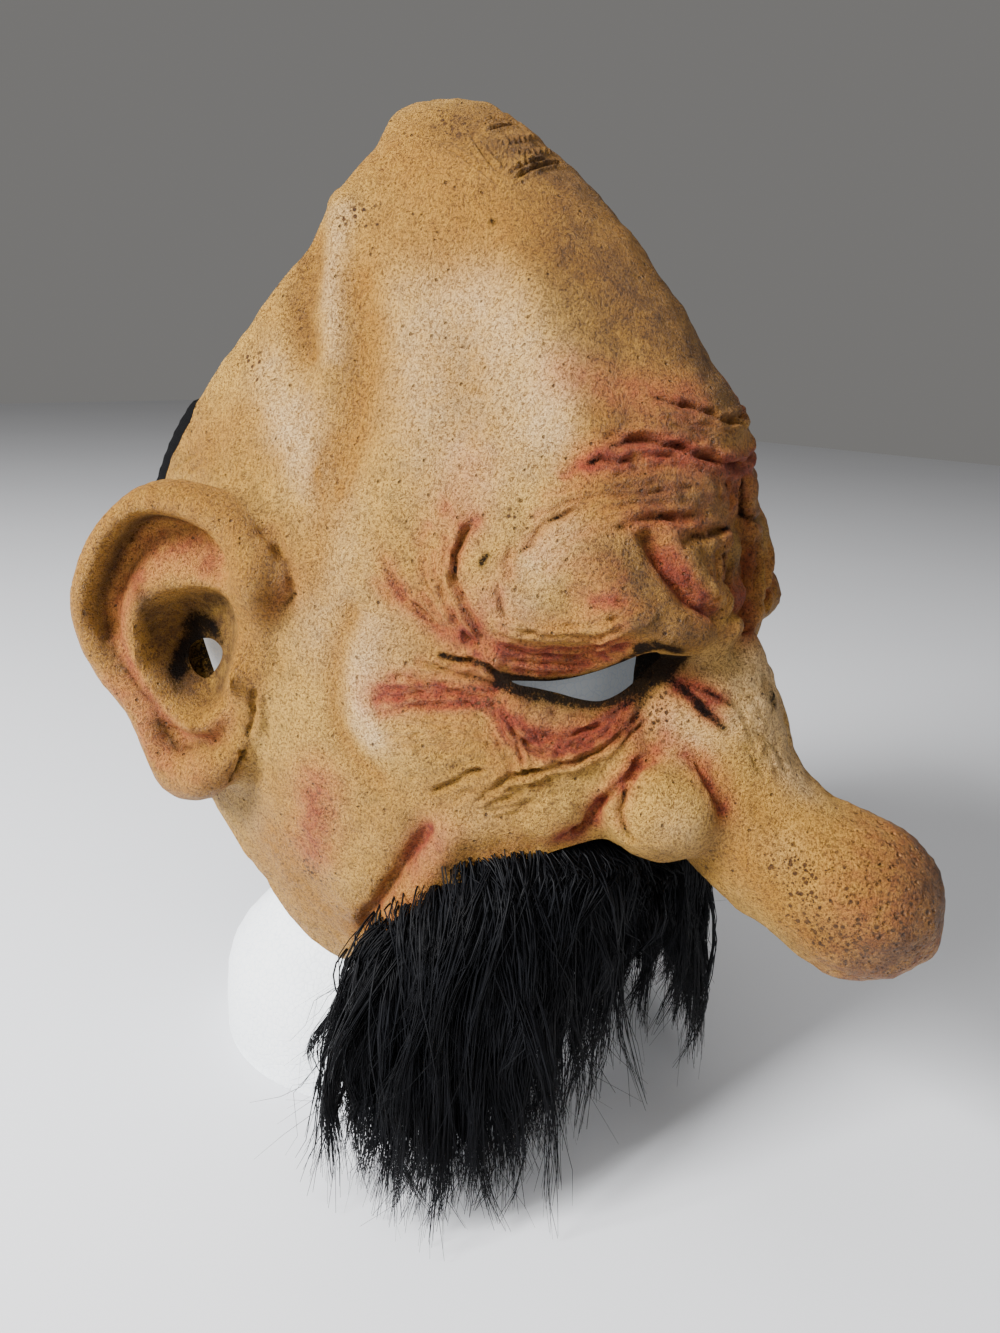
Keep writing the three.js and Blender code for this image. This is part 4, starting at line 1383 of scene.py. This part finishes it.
class Finish:
    """A node material, built up step by step around one shader."""

    def __init__(self, name, **sockets):
        self.material = bpy.data.materials.new(name)
        self.material.use_nodes = True
        self.tree = self.material.node_tree
        self.shader = self.tree.nodes["Principled BSDF"]
        self.space = self.add("ShaderNodeTexCoord").outputs["Object"]
        fill(self.shader, **sockets)

    def add(self, kind, **settings):
        node = self.tree.nodes.new(kind)
        for name, value in settings.items():
            setattr(node, name, value)
        return node

    def join(self, source, socket):
        """Feeds a socket from another node, a number or a colour."""
        if isinstance(source, (int, float)):
            socket.default_value = source
        elif isinstance(source, tuple):
            socket.default_value = (*source, 1) if len(source) == 3 else source
        else:
            self.tree.links.new(source, socket)

    def math(self, operation, a, b=0.0, clamp=False):
        node = self.add("ShaderNodeMath", operation=operation, use_clamp=clamp)
        self.join(a, node.inputs[0])
        self.join(b, node.inputs[1])
        return node.outputs[0]

    def times(self, a, b, clamp=False):
        return self.math("MULTIPLY", a, b, clamp)

    def ramp(self, source, low, high, out_low=0.0, out_high=1.0):
        node = self.add("ShaderNodeMapRange")
        self.join(source, node.inputs["Value"])
        fill(node, From_Min=low, From_Max=high, To_Min=out_low, To_Max=out_high)
        return node.outputs["Result"]

    def noise(self, scale, detail=2.0, roughness=0.5):
        node = self.add("ShaderNodeTexNoise")
        self.tree.links.new(self.space, node.inputs["Vector"])
        fill(node, Scale=scale, Detail=detail, Roughness=roughness, Distortion=0)
        return node.outputs["Fac"]

    def cells(self, scale, feature="F1", randomness=1.0):
        node = self.add("ShaderNodeTexVoronoi", feature=feature)
        self.tree.links.new(self.space, node.inputs["Vector"])
        fill(node, Scale=scale, Randomness=randomness)
        return node

    def attribute(self, name):
        return self.add("ShaderNodeAttribute", attribute_name=name).outputs["Fac"]

    def mix(self, share, under, over, blend="MIX"):
        node = self.add("ShaderNodeMix", data_type="RGBA", blend_type=blend)
        self.join(share, node.inputs["Factor"])
        self.join(under, node.inputs[6])
        self.join(over, node.inputs[7])
        return node.outputs[2]

    def colour(self, source):
        self.join(source, self.shader.inputs["Base Color"])

    def rough(self, source):
        self.join(source, self.shader.inputs["Roughness"])

    def bump(self, heights, distance):
        """Bumps from (height, strength) pairs, one after the other."""
        normal = None
        for height, strength in heights:
            node = self.add("ShaderNodeBump")
            fill(node, Strength=strength, Distance=distance)
            self.join(height, node.inputs["Height"])
            if normal is not None:
                self.tree.links.new(normal, node.inputs["Normal"])
            normal = node.outputs["Normal"]
        self.tree.links.new(normal, self.shader.inputs["Normal"])


def srgb(red, green, blue):
    """A colour as seen on a screen, 0 to 255, as the shader's linear values."""
    return tuple(((c / 255 + 0.055) / 1.055) ** 2.4 if c > 10 else c / 3294.6
                 for c in (red, green, blue))


LATEX_TAN = srgb(207, 161, 72)
# Pale tone, also used for painted highlights
LATEX_PALE_AND_HIGHLIGHT = srgb(235, 195, 136)
LATEX_OCHRE = srgb(172, 119, 36)
LATEX_OLIVE = srgb(104, 78, 28)
# Brown for the pores and speckles, and for painted shade
LATEX_UMBER_AND_SHADE = srgb(90, 57, 18)
LATEX_PINK = srgb(194, 96, 54)
LATEX_RED = srgb(116, 32, 18)
# Black for the ink and for painted shade
LATEX_INK_AND_SHADE = srgb(10, 8, 9)
NOSE_BROWN = srgb(168, 100, 44)


def latex_finish():
    """Airbrushed latex: the skin's paints over one another, painted highlights and shade among them,
    then dots, black with painted shade, and grain darkened in its pits as painted shade.
    """
    latex = Finish("painted latex")
    broad = latex.noise(28, 4, 0.6)
    mottle = latex.noise(210, 4, 0.65)
    grain = latex.noise(1150, 5, 0.72)
    fine = latex.noise(2600, 2, 0.5)
    tone = latex.mix(latex.ramp(broad, 0.38, 0.62, 0, 0.6), LATEX_TAN, LATEX_OCHRE)
    tone = latex.mix(latex.ramp(mottle, 0.45, 0.75, 0, 0.5), tone, LATEX_OLIVE)
    for name, colour, softness, strength in (
        ("pale", LATEX_PALE_AND_HIGHLIGHT, 0.4, 0.8),
        ("ochre", LATEX_OCHRE, 0.3, 0.9),
        ("nose_tip", NOSE_BROWN, 0.5, 0.75),
        ("umber_and_shade", LATEX_UMBER_AND_SHADE, 0.4, 0.7),
        ("blush", LATEX_PINK, 0.3, 0.75),
    ):
        uneven = latex.ramp(mottle, 0.3, 0.7, 1 - softness, 1 + softness)
        cover = latex.times(latex.attribute(name), uneven)
        tone = latex.mix(latex.times(cover, strength, clamp=True), tone, colour)
    deep_red = latex.ramp(latex.attribute("blush"), 0.45, 1.1, 0, 0.75)
    deep_red = latex.times(deep_red, latex.ramp(mottle, 0.35, 0.62, 0.35, 1))
    tone = latex.mix(deep_red, tone, LATEX_RED)

    def speckled(scale, dot, presence):
        """Dark dots in some cells, as many as the speckle paint asks for."""
        spots = latex.cells(scale)
        share = latex.ramp(spots.outputs["Color"], *presence)
        crowd = latex.times(latex.attribute("speckle"), share)
        return latex.times(latex.ramp(spots.outputs["Distance"], *dot, 1, 0), crowd, clamp=True)

    pores = latex.cells(330)
    presence = latex.ramp(pores.outputs["Color"], 0.62, 0.66)
    pore_dot = latex.times(latex.ramp(pores.outputs["Distance"], 0.1, 0.2, 1, 0), presence)
    dots = latex.times(pore_dot, 0.75)
    dots = latex.math("MAXIMUM", dots, speckled(430, (0.2, 0.36), (0.15, 0.3, 0, 1.6)))
    dots = latex.math("MAXIMUM", dots, speckled(980, (0.2, 0.4), (0.4, 0.5, 0, 1.4)))
    tone = latex.mix(dots, tone, LATEX_UMBER_AND_SHADE)
    # Black ink and painted shade, broken up by the grain
    broken_ink_and_shade = latex.math("ADD", latex.attribute("ink_and_shade"), latex.ramp(grain, 0.35, 0.65, -0.4, 0.3))
    inked_and_shaded = latex.ramp(broken_ink_and_shade, 0.2, 0.75, 0, 0.97)
    tone = latex.mix(inked_and_shaded, tone, LATEX_INK_AND_SHADE)
    pebble = latex.math("ADD", latex.times(grain, 0.7), latex.times(fine, 0.3))
    # The grain's low pits are darkened: painted shade
    tone = latex.mix(latex.ramp(pebble, 0.56, 0.4, 0, 0.85), tone, LATEX_OLIVE, "MULTIPLY")
    latex.colour(tone)
    latex.join(latex.ramp(inked_and_shaded, 0, 0.8, 0.34, 0.08), latex.shader.inputs["Specular IOR Level"])
    latex.rough(latex.ramp(mottle, 0.3, 0.7, 0.42, 0.6))
    crater = latex.ramp(latex.cells(420).outputs["Distance"], 0.08, 0.34, 1, 0)
    crater = latex.times(latex.attribute("nose_tip"), crater)
    pits = latex.math("SUBTRACT", pebble, latex.times(pore_dot, 0.5))
    pits = latex.math("SUBTRACT", pits, latex.times(crater, 0.8))
    crinkles = latex.cells(240, "DISTANCE_TO_EDGE").outputs["Distance"]
    latex.bump(((mottle, 0.45), (latex.ramp(crinkles, 0, 0.16), 0.14), (pits, 1.0)), 0.0024)
    return latex.material


skin.data.materials.clear()
skin.data.materials.append(latex_finish())
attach(skin, "root")
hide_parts("mask_skin")


# Foam head: a flared round base, a neck and a plain head
FOAM_HEIGHT = 281
HEAD_MIDDLE = 195
BASE_PROFILE = [(0, 62.5), (18, 62.5), (32, 60), (43, 53), (54, 43)]
FOAM_FRONT = profile([*BASE_PROFILE, (74, 43), (92, 58), (104, 84), (120, 96), (150, 101),
                      (HEAD_MIDDLE, 103), (FOAM_HEIGHT, 103)])
FOAM_HALF_WIDTH = profile([*BASE_PROFILE, (74, 42), (92, 44), (104, 50), (120, 55), (150, 61),
                           (HEAD_MIDDLE, 67), (FOAM_HEIGHT, 67)])
FOAM_BACK = profile([*BASE_PROFILE, (74, 44), (100, 50), (130, 66), (160, 82),
                     (HEAD_MIDDLE, 92), (FOAM_HEIGHT, 92)])


def on_foam(height, heading, clear=0.0):
    """Points on the foam at a height; clear is how far they stand off it."""
    ahead = np.cos(heading)
    depth = np.where(ahead > 0, FOAM_FRONT(height), FOAM_BACK(height))
    rise = np.maximum(0, height - HEAD_MIDDLE) / (FOAM_HEIGHT - HEAD_MIDDLE)
    size = np.sqrt(np.maximum(0, 1 - rise ** 2))
    return np.stack([(FOAM_HALF_WIDTH(height) * size + clear) * np.sin(heading),
                     -(depth * size + clear) * ahead, height], 1)


# The base's edge is rounded and its underside is slightly hollow; metres, as bmesh takes them
EDGE_ROUNDING = 0.0012
HOLLOW_RIM = 0.004
HOLLOW_SLOPE = 0.006
HOLLOW_DEPTH = 0.0012
RIM_FROM = 0.062
# The mould's seam runs over the head from side to side
SEAM_AT = 4
SEAM_RISE = 0.28
SEAM_HALF_WIDTH = 0.9


def foam_head():
    """The display head: a grid wrapped round it, closed underneath."""
    form = bmesh.new()
    bmesh.ops.create_grid(form, x_segments=140, y_segments=150, size=1)
    for vert in form.verts:
        heading = vert.co.x * math.pi
        climb = FOAM_HEIGHT * math.sin(math.pi / 4 * (vert.co.y + 1))
        at = on_foam(np.array([climb]), np.array([heading]))[0]
        vert.co = Vector(at) * MM
    bmesh.ops.remove_doubles(form, verts=form.verts, dist=0.00002)
    bmesh.ops.holes_fill(form, edges=[e for e in form.edges if e.is_boundary])
    for face in [f for f in form.faces if len(f.verts) > 4]:
        bmesh.ops.inset_region(form, faces=[face], thickness=HOLLOW_RIM, depth=0)
        bmesh.ops.inset_region(form, faces=[face], thickness=HOLLOW_SLOPE, depth=-HOLLOW_DEPTH)
    rim = [e for e in form.edges
           if all(abs(v.co.z) < 1e-5 and v.co.xy.length > RIM_FROM for v in e.verts)]
    bmesh.ops.bevel(form, geom=rim, offset=EDGE_ROUNDING, segments=3, profile=0.5,
                    affect="EDGES", material=-1)
    bmesh.ops.recalc_face_normals(form, faces=form.faces)
    head = piece_of(form, "foam_display_head")
    points = read_points(head.data)
    normals = read_normals(head.data)
    seam = SEAM_RISE * bell(points[:, 1] - SEAM_AT, SEAM_HALF_WIDTH) * (points[:, 2] > 2)
    relief = 0.16 * wavelets(points, 9, 7) + 0.22 * wavelets(points, 30, 8)
    shift = np.where(points[:, 2] > 1, relief - 0.3, 0) + seam
    write_points(head.data, points + normals * shift[:, None])
    smooth_shaded(head)
    return head


def foam_finish():
    """White beads pressed together, with a faint even glow that is painted light."""
    # The emission is painted light: a faint glow that brightens the foam seen through the eye holes
    foam = Finish("moulded foam", Specular_IOR_Level=0.35, Emission_Strength=0.14,
                  Emission_Color=(*srgb(226, 234, 242), 1))
    beads = foam.cells(390, "F1", 0.9)
    edges = foam.cells(390, "DISTANCE_TO_EDGE", 0.9)
    valley = foam.ramp(edges.outputs["Distance"], 0.0, 0.09, 1, 0)
    smudge = foam.ramp(foam.noise(16, 4, 0.6), 0.4, 0.75, 0, 0.5)
    tone = foam.mix(smudge, srgb(240, 243, 245), srgb(222, 228, 232))
    # Darker in the valleys between the beads, a painted shade
    tone = foam.mix(foam.times(valley, 0.35), tone, srgb(196, 204, 210))
    foam.colour(tone)
    foam.rough(foam.ramp(foam.noise(120, 3), 0.3, 0.7, 0.55, 0.8))
    dome = foam.times(beads.outputs["Distance"], -1)
    foam.bump(((dome, 0.2), (foam.times(valley, -1), 0.25), (foam.noise(1500, 2), 0.15)), 0.0006)
    return foam.material


head = foam_head()
head.data.materials.append(foam_finish())
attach(head, "root")
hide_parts("foam_head")


# Elastic: a flat knitted band round the back of the head, from temple to temple
STRAP_HEIGHT = 234
STRAP_WIDTH = 30
STRAP_THICKNESS = 1.3
# Half the angle that the band spans, how far it stands off the foam, and how much more at its ends
STRAP_REACH = 1.36
STRAP_CLEAR = 1.5
STRAP_LIFT = 6.4
RIB_COUNT = 7


def elastic_band():
    """A flat grid bent round the head, with ribs and a slight sag, then given its thickness."""
    form = bmesh.new()
    bmesh.ops.create_grid(form, x_segments=180, y_segments=22, size=0.5)
    lay = form.loops.layers.uv.new("UVMap")
    for face in form.faces:
        for corner in face.loops:
            corner[lay].uv = (corner.vert.co.x + 0.5, corner.vert.co.y + 0.5)
    for vert in form.verts:
        along, up = vert.co.x, vert.co.y
        heading = math.pi - 2 * along * STRAP_REACH
        sag = 0.7 * math.sin(9 * along + 1) * (0.5 + abs(up))
        ripple = 0.16 * math.cos(up * 2 * math.pi * RIB_COUNT) + 0.12 * math.sin(along * 60 + up * 5)
        level = STRAP_HEIGHT + STRAP_WIDTH * up + sag * 0.6
        lift = STRAP_LIFT * float(smoothstep(abs(along), 0.18, 0.46))
        clear = STRAP_CLEAR + ripple + lift
        at = on_foam(np.array([level]), np.array([heading]), clear)[0]
        vert.co = Vector(at) * MM
    bmesh.ops.recalc_face_normals(form, faces=form.faces)
    middle = min(form.faces, key=lambda f: abs(f.calc_center_median().x))
    if middle.normal.dot(middle.calc_center_median() - Vector((0, 0, STRAP_HEIGHT * MM))) < 0:
        bmesh.ops.reverse_faces(form, faces=form.faces)
    band = piece_of(form, "elastic_band")
    wall = band.modifiers.new("thickness", "SOLIDIFY")
    wall.thickness = STRAP_THICKNESS * MM
    wall.offset = 0
    wall.use_even_offset = True
    applied(band)
    smooth_shaded(band)
    return band


def elastic_finish():
    """Black knitting in rows and ribs, with fuzz on it."""
    knit = Finish("knitted elastic", Specular_IOR_Level=0.05)
    uv = knit.add("ShaderNodeUVMap", uv_map="UVMap").outputs["UV"]
    parts = knit.add("ShaderNodeSeparateXYZ")
    knit.tree.links.new(uv, parts.inputs[0])
    rows = knit.math("SINE", knit.times(parts.outputs["X"], 900))
    ribs = knit.math("SINE", knit.times(parts.outputs["Y"], 150))
    cross = knit.times(rows, ribs)
    fuzz = knit.noise(900, 3, 0.6)
    tone = knit.mix(knit.ramp(cross, -1, 1), srgb(4, 4, 5), srgb(11, 11, 13))
    tone = knit.mix(knit.ramp(fuzz, 0.55, 0.75, 0, 0.4), tone, srgb(17, 17, 19))
    knit.colour(tone)
    knit.rough(knit.ramp(fuzz, 0.3, 0.7, 0.7, 0.9))
    knit.bump(((cross, 0.6), (fuzz, 0.25)), 0.0004)
    return knit.material


band = elastic_band()
band.data.materials.append(elastic_finish())
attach(band, "root")
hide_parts("head_strap")


# Fur: locks of long fibres glued along the mouth edge, over a dark matted core
FUR_LINE = spline([
    (-50, -48, 74), (-55, -64, 98), (-51, -80, 116), (-42, -97, 128), (-24, -112, 126),
    (0, -117, 112), (24, -112, 126), (42, -97, 128), (51, -80, 116), (55, -64, 98), (50, -48, 74),
], 16)
FUR_RUN = run_along(FUR_LINE)


def directions_at(root):
    """Away from the face and along it, at a lock's root."""
    out = unit(np.array([root[0], root[1] + 30, 0]))
    return out, np.array([-out[1], out[0], 0])


# Where the lock from each share of the line ends: share, X, forward reach and height
LOCK_ENDS = np.array((
    (0.00, -86, 58, 9), (0.04, -86, 62, 5), (0.09, -82, 74, 4), (0.15, -78, 92, 2),
    (0.21, -74, 107, 2), (0.27, -61, 106, 12), (0.33, -44, 112, 20), (0.38, -27, 116, 34),
    (0.43, -14, 118, 56), (0.50, 0, 121, 70), (0.56, 16, 124, 50), (0.61, 30, 125, 28),
    (0.67, 44, 124, 12), (0.75, 60, 118, 6), (0.84, 74, 104, 5), (0.92, 82, 86, 6), (1.00, 84, 64, 18),
))


def bent(start, leave, arrive, end, t):
    """A smooth bend from start to end, pulled towards two points between them."""
    t = t[:, None]
    return (start * (1 - t) ** 3 + leave * 3 * t * (1 - t) ** 2
            + arrive * 3 * t * t * (1 - t) + end * t ** 3)


def lock_line(share, length, stray, t):
    """The middle line of one lock, from its root to its tip."""
    root = read_along(np.clip(share, 0, 1) * FUR_RUN[-1], FUR_RUN, FUR_LINE)
    out, sideways = directions_at(root)
    end = read_along(share, LOCK_ENDS[:, 0], LOCK_ENDS[:, 1:]) * (1, -1, 1)
    end = root + (end - root) * length
    end = end + sideways * stray + out * dice.gauss(0, 2.5)
    fall = np.array([0, 0, end[2] - root[2]])
    level = end - root - fall
    leave = root + level * 0.5 + out * 7.5 + fall * 0.06
    arrive = end - level * 0.1 - fall * 0.42
    arrive = arrive + sideways * dice.gauss(0, 8) + out * dice.uniform(-2, 7)
    return bent(root, leave, arrive, end, t)


# Strands of the fur: points on each, radius, how often one hangs loose, and how near the floor
STRAND_POINTS = 10
FIBRE_RADIUS = (0.2, 0.44)
LOOSE_SHARE = 0.07
LOWEST_STRAND = 1.4
# Locks of the fur: the full length comes up twice, and a long lock is narrow with few strands
LOCK_LENGTHS = (1.0, 1.0, 0.9, 0.82, 0.74, 0.68, 0.6, 0.5, 0.38)
LONG = 0.88
LONG_LOCK_WIDTH = (2.2, 4.6)
SHORT_LOCK_WIDTH = (2.8, 5.4)
LONG_LOCK_STRANDS = (10, 15, 22)
SHORT_LOCK_STRANDS = (20, 30, 44)


def lock_shape(share, length, t):
    """One waved lock: its middle line, half width, gathering towards the tip and layer."""
    middle = lock_line(share, length, dice.gauss(0, 11), t)
    sway = unit(np.array([dice.gauss(0, 1), dice.gauss(0, 1), 0.1]))
    wave = dice.uniform(2.0, 8.0)
    bends = np.sin(dice.uniform(0, 6.3) + t * dice.uniform(5, 11))
    middle = middle + sway * (wave * t * bends)[:, None]
    width = dice.uniform(*(LONG_LOCK_WIDTH if length > LONG else SHORT_LOCK_WIDTH))
    gather = 1 - 0.96 * smoothstep(t, 0.15, dice.uniform(0.7, 1.0))
    return middle, width, gather, dice.uniform(-3.5, 4.0)


def strand(middle, width, gather, layer, t):
    """One fibre of a lock: its points and its thickness."""
    out, sideways = directions_at(middle[0])
    loose = 2.6 if dice.random() < LOOSE_SHARE else 1.0
    across = dice.gauss(0, 1) * width
    outward = dice.gauss(0, 1) * 1.7 + layer
    along = t * dice.uniform(0.84, 1.03)
    path = read_along(np.minimum(along, 1), t, middle)
    path = path + np.maximum(along - 1, 0)[:, None] * (middle[-1] - middle[-2]) * 9
    curl = dice.gauss(0, 0.7) * loose ** 2
    ripple = dice.uniform(0.4, 1.6) * loose ** 1.5
    turns = dice.uniform(8, 17)
    phase = dice.uniform(0, 6.3)
    path = path + sideways * (across * gather + curl * t ** 3 * 3
                              + ripple * t * np.sin(phase + turns * t))[:, None]
    path = path + out * (outward * gather * smoothstep(t, -0.1, 0.3)
                         + ripple * t * np.cos(phase + turns * t * 0.9))[:, None]
    path[:, 2] += dice.uniform(-5, 1.2) * (1 - smoothstep(t, 0, 0.35))
    path[:, 2] = np.maximum(path[:, 2], LOWEST_STRAND + 0.8 * dice.random())
    return path, dice.uniform(*FIBRE_RADIUS) * (0.6 if loose > 1 else 1)


def fibre_section():
    """The three-sided section of a fibre, one millimetre in radius."""
    section = bpy.data.curves.new("fibre section", "CURVE")
    ring = section.splines.new("POLY")
    ring.points.add(2)
    ring.use_cyclic_u = True
    for k, point in enumerate(ring.points):
        turn = k * 2 * math.pi / 3
        point.co = (MM * math.cos(turn), MM * math.sin(turn), 0, 1)
    return object_of("fibre section", section)


def fur_piece(name, shares, strands):
    """Tapered strands gathered into locks, as one mesh of thin three-sided tubes."""
    t = np.linspace(0, 1, STRAND_POINTS)
    rod = fibre_section()
    curve = bpy.data.curves.new(name, "CURVE")
    curve.dimensions = "3D"
    curve.bevel_mode = "OBJECT"
    curve.bevel_object = rod
    curve.use_fill_caps = True
    while strands > 0:
        share = dice.uniform(*shares)
        length = dice.choice(LOCK_LENGTHS) * dice.uniform(0.94, 1.04)
        counts = LONG_LOCK_STRANDS if length > LONG else SHORT_LOCK_STRANDS
        in_lock = min(strands, dice.choice(counts))
        strands -= in_lock
        lock = lock_shape(share, length, t)
        for _ in range(in_lock):
            path, thick = strand(*lock, t)
            run = curve.splines.new("POLY")
            run.points.add(len(t) - 1)
            flat = np.concatenate([path * MM, np.ones((len(t), 1))], 1)
            run.points.foreach_set("co", flat.astype(np.float32).ravel())
            run.points.foreach_set("radius", (thick * (1 - 0.8 * t ** 2)).astype(np.float32))
    tube = object_of(name, curve)
    graph = bpy.context.evaluated_depsgraph_get()
    graph.update()
    mesh = bpy.data.meshes.new_from_object(tube.evaluated_get(graph))
    for made in (tube, rod):
        made_of = made.data
        bpy.data.objects.remove(made)
        bpy.data.curves.remove(made_of)
    mesh.name = name
    mesh.shade_smooth()
    return object_of(name, mesh)


# The core keeps this share of the CAD body's height, below its top
CORE_VOXEL = 3
CORE_TOP = 128
CORE_SHARE = 0.5
CORE_LOWEST = 4


def fur_core():
    """The matted inside of the fur: the CAD body, drawn in and ragged along its lower edge."""
    form = bmesh.new()
    form.from_mesh(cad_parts["fur_beard"].data)
    bmesh.ops.remove_doubles(form, verts=form.verts, dist=0.00005)
    bmesh.ops.triangulate(form, faces=form.faces)
    core = remeshed(piece_of(form, "fur_core"), CORE_VOXEL)
    points = blurred(read_points(core.data), read_edges(core.data), 4, 1.0)
    points[:, 2] = CORE_TOP - (CORE_TOP - points[:, 2]) * CORE_SHARE
    points = points * (0.95, 1, 1) + (0, 5, -2)
    write_points(core.data, points)
    ragged = 0.8 * wavelets(points * (1, 1, 0.22), 6, 11) - 3.5
    points = points + read_normals(core.data) * ragged[:, None]
    points[:, 2] = np.maximum(points[:, 2], CORE_LOWEST)
    write_points(core.data, points)
    smooth_shaded(core)
    return core


def fur_finish():
    """Black shiny fibre."""
    fibre = Finish("black fibre", Specular_IOR_Level=0.13)
    patch = fibre.noise(90, 3, 0.6)
    tone = fibre.mix(fibre.ramp(patch, 0.35, 0.7), srgb(4, 4, 6), srgb(11, 12, 16))
    fibre.colour(tone)
    fibre.rough(fibre.ramp(patch, 0.3, 0.7, 0.4, 0.6))
    return fibre.material


def matted_finish():
    """Black dull fibre, for the core."""
    mat = Finish("matted fibre", Specular_IOR_Level=0.05)
    mat.colour(mat.mix(mat.noise(500, 3, 0.6), srgb(4, 4, 5), srgb(12, 12, 14)))
    mat.rough(0.95)
    return mat.material


FIBRE = fur_finish()
MATTED = matted_finish()
FUR_PARTS = (
    ("fur_right_jaw", (0.0, 0.14), 2400), ("fur_right_cheek", (0.1, 0.27), 2700),
    ("fur_right_lip", (0.24, 0.42), 2300), ("fur_middle", (0.38, 0.62), 1600),
    ("fur_left_lip", (0.58, 0.78), 1700), ("fur_left_jaw", (0.74, 1.0), 1800),
)
fur = [fur_core()]
for name, shares, strands in FUR_PARTS:
    fur.append(fur_piece(name, shares, strands))
for piece in fur:
    piece.data.materials.clear()
    piece.data.materials.append(MATTED if piece is fur[0] else FIBRE)
    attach(piece, "root")
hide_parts("fur_beard")


# Studio: a pale floor, a soft window light from the camera's left, a weak fill and a top light
FLOOR_HALF = 3


def studio():
    """The floor, the world's light and the lamps, none of which belong to the part."""
    form = bmesh.new()
    bmesh.ops.create_grid(form, x_segments=2, y_segments=2, size=FLOOR_HALF)
    floor = piece_of(form, "floor")
    paper = Finish("pale floor", Specular_IOR_Level=0.2)
    paper.colour(paper.mix(paper.noise(3, 2), srgb(214, 215, 219), srgb(219, 220, 223)))
    paper.rough(0.85)
    floor.data.materials.append(paper.material)
    world = bpy.data.worlds.new("studio")
    world.use_nodes = True
    fill(world.node_tree.nodes["Background"], Color=(*srgb(226, 224, 221), 1), Strength=0.24)
    bpy.context.scene.world = world
    aim = Vector((0, -0.06, 0.18))
    for name, at, power, size in (
        ("window", (-1.1, 0.38, 0.95), 70, 0.5),
        ("fill", (-0.9, -0.9, 0.9), 5, 1.0),
        ("top", (-0.2, -0.2, 1.7), 9, 0.9),
    ):
        lamp = bpy.data.lights.new(name, "AREA")
        lamp.energy = power
        lamp.size = size
        holder = object_of(name, lamp)
        holder.location = at
        holder.rotation_mode = "QUATERNION"
        holder.rotation_quaternion = (aim - Vector(at)).to_track_quat("-Z", "Y")


studio()
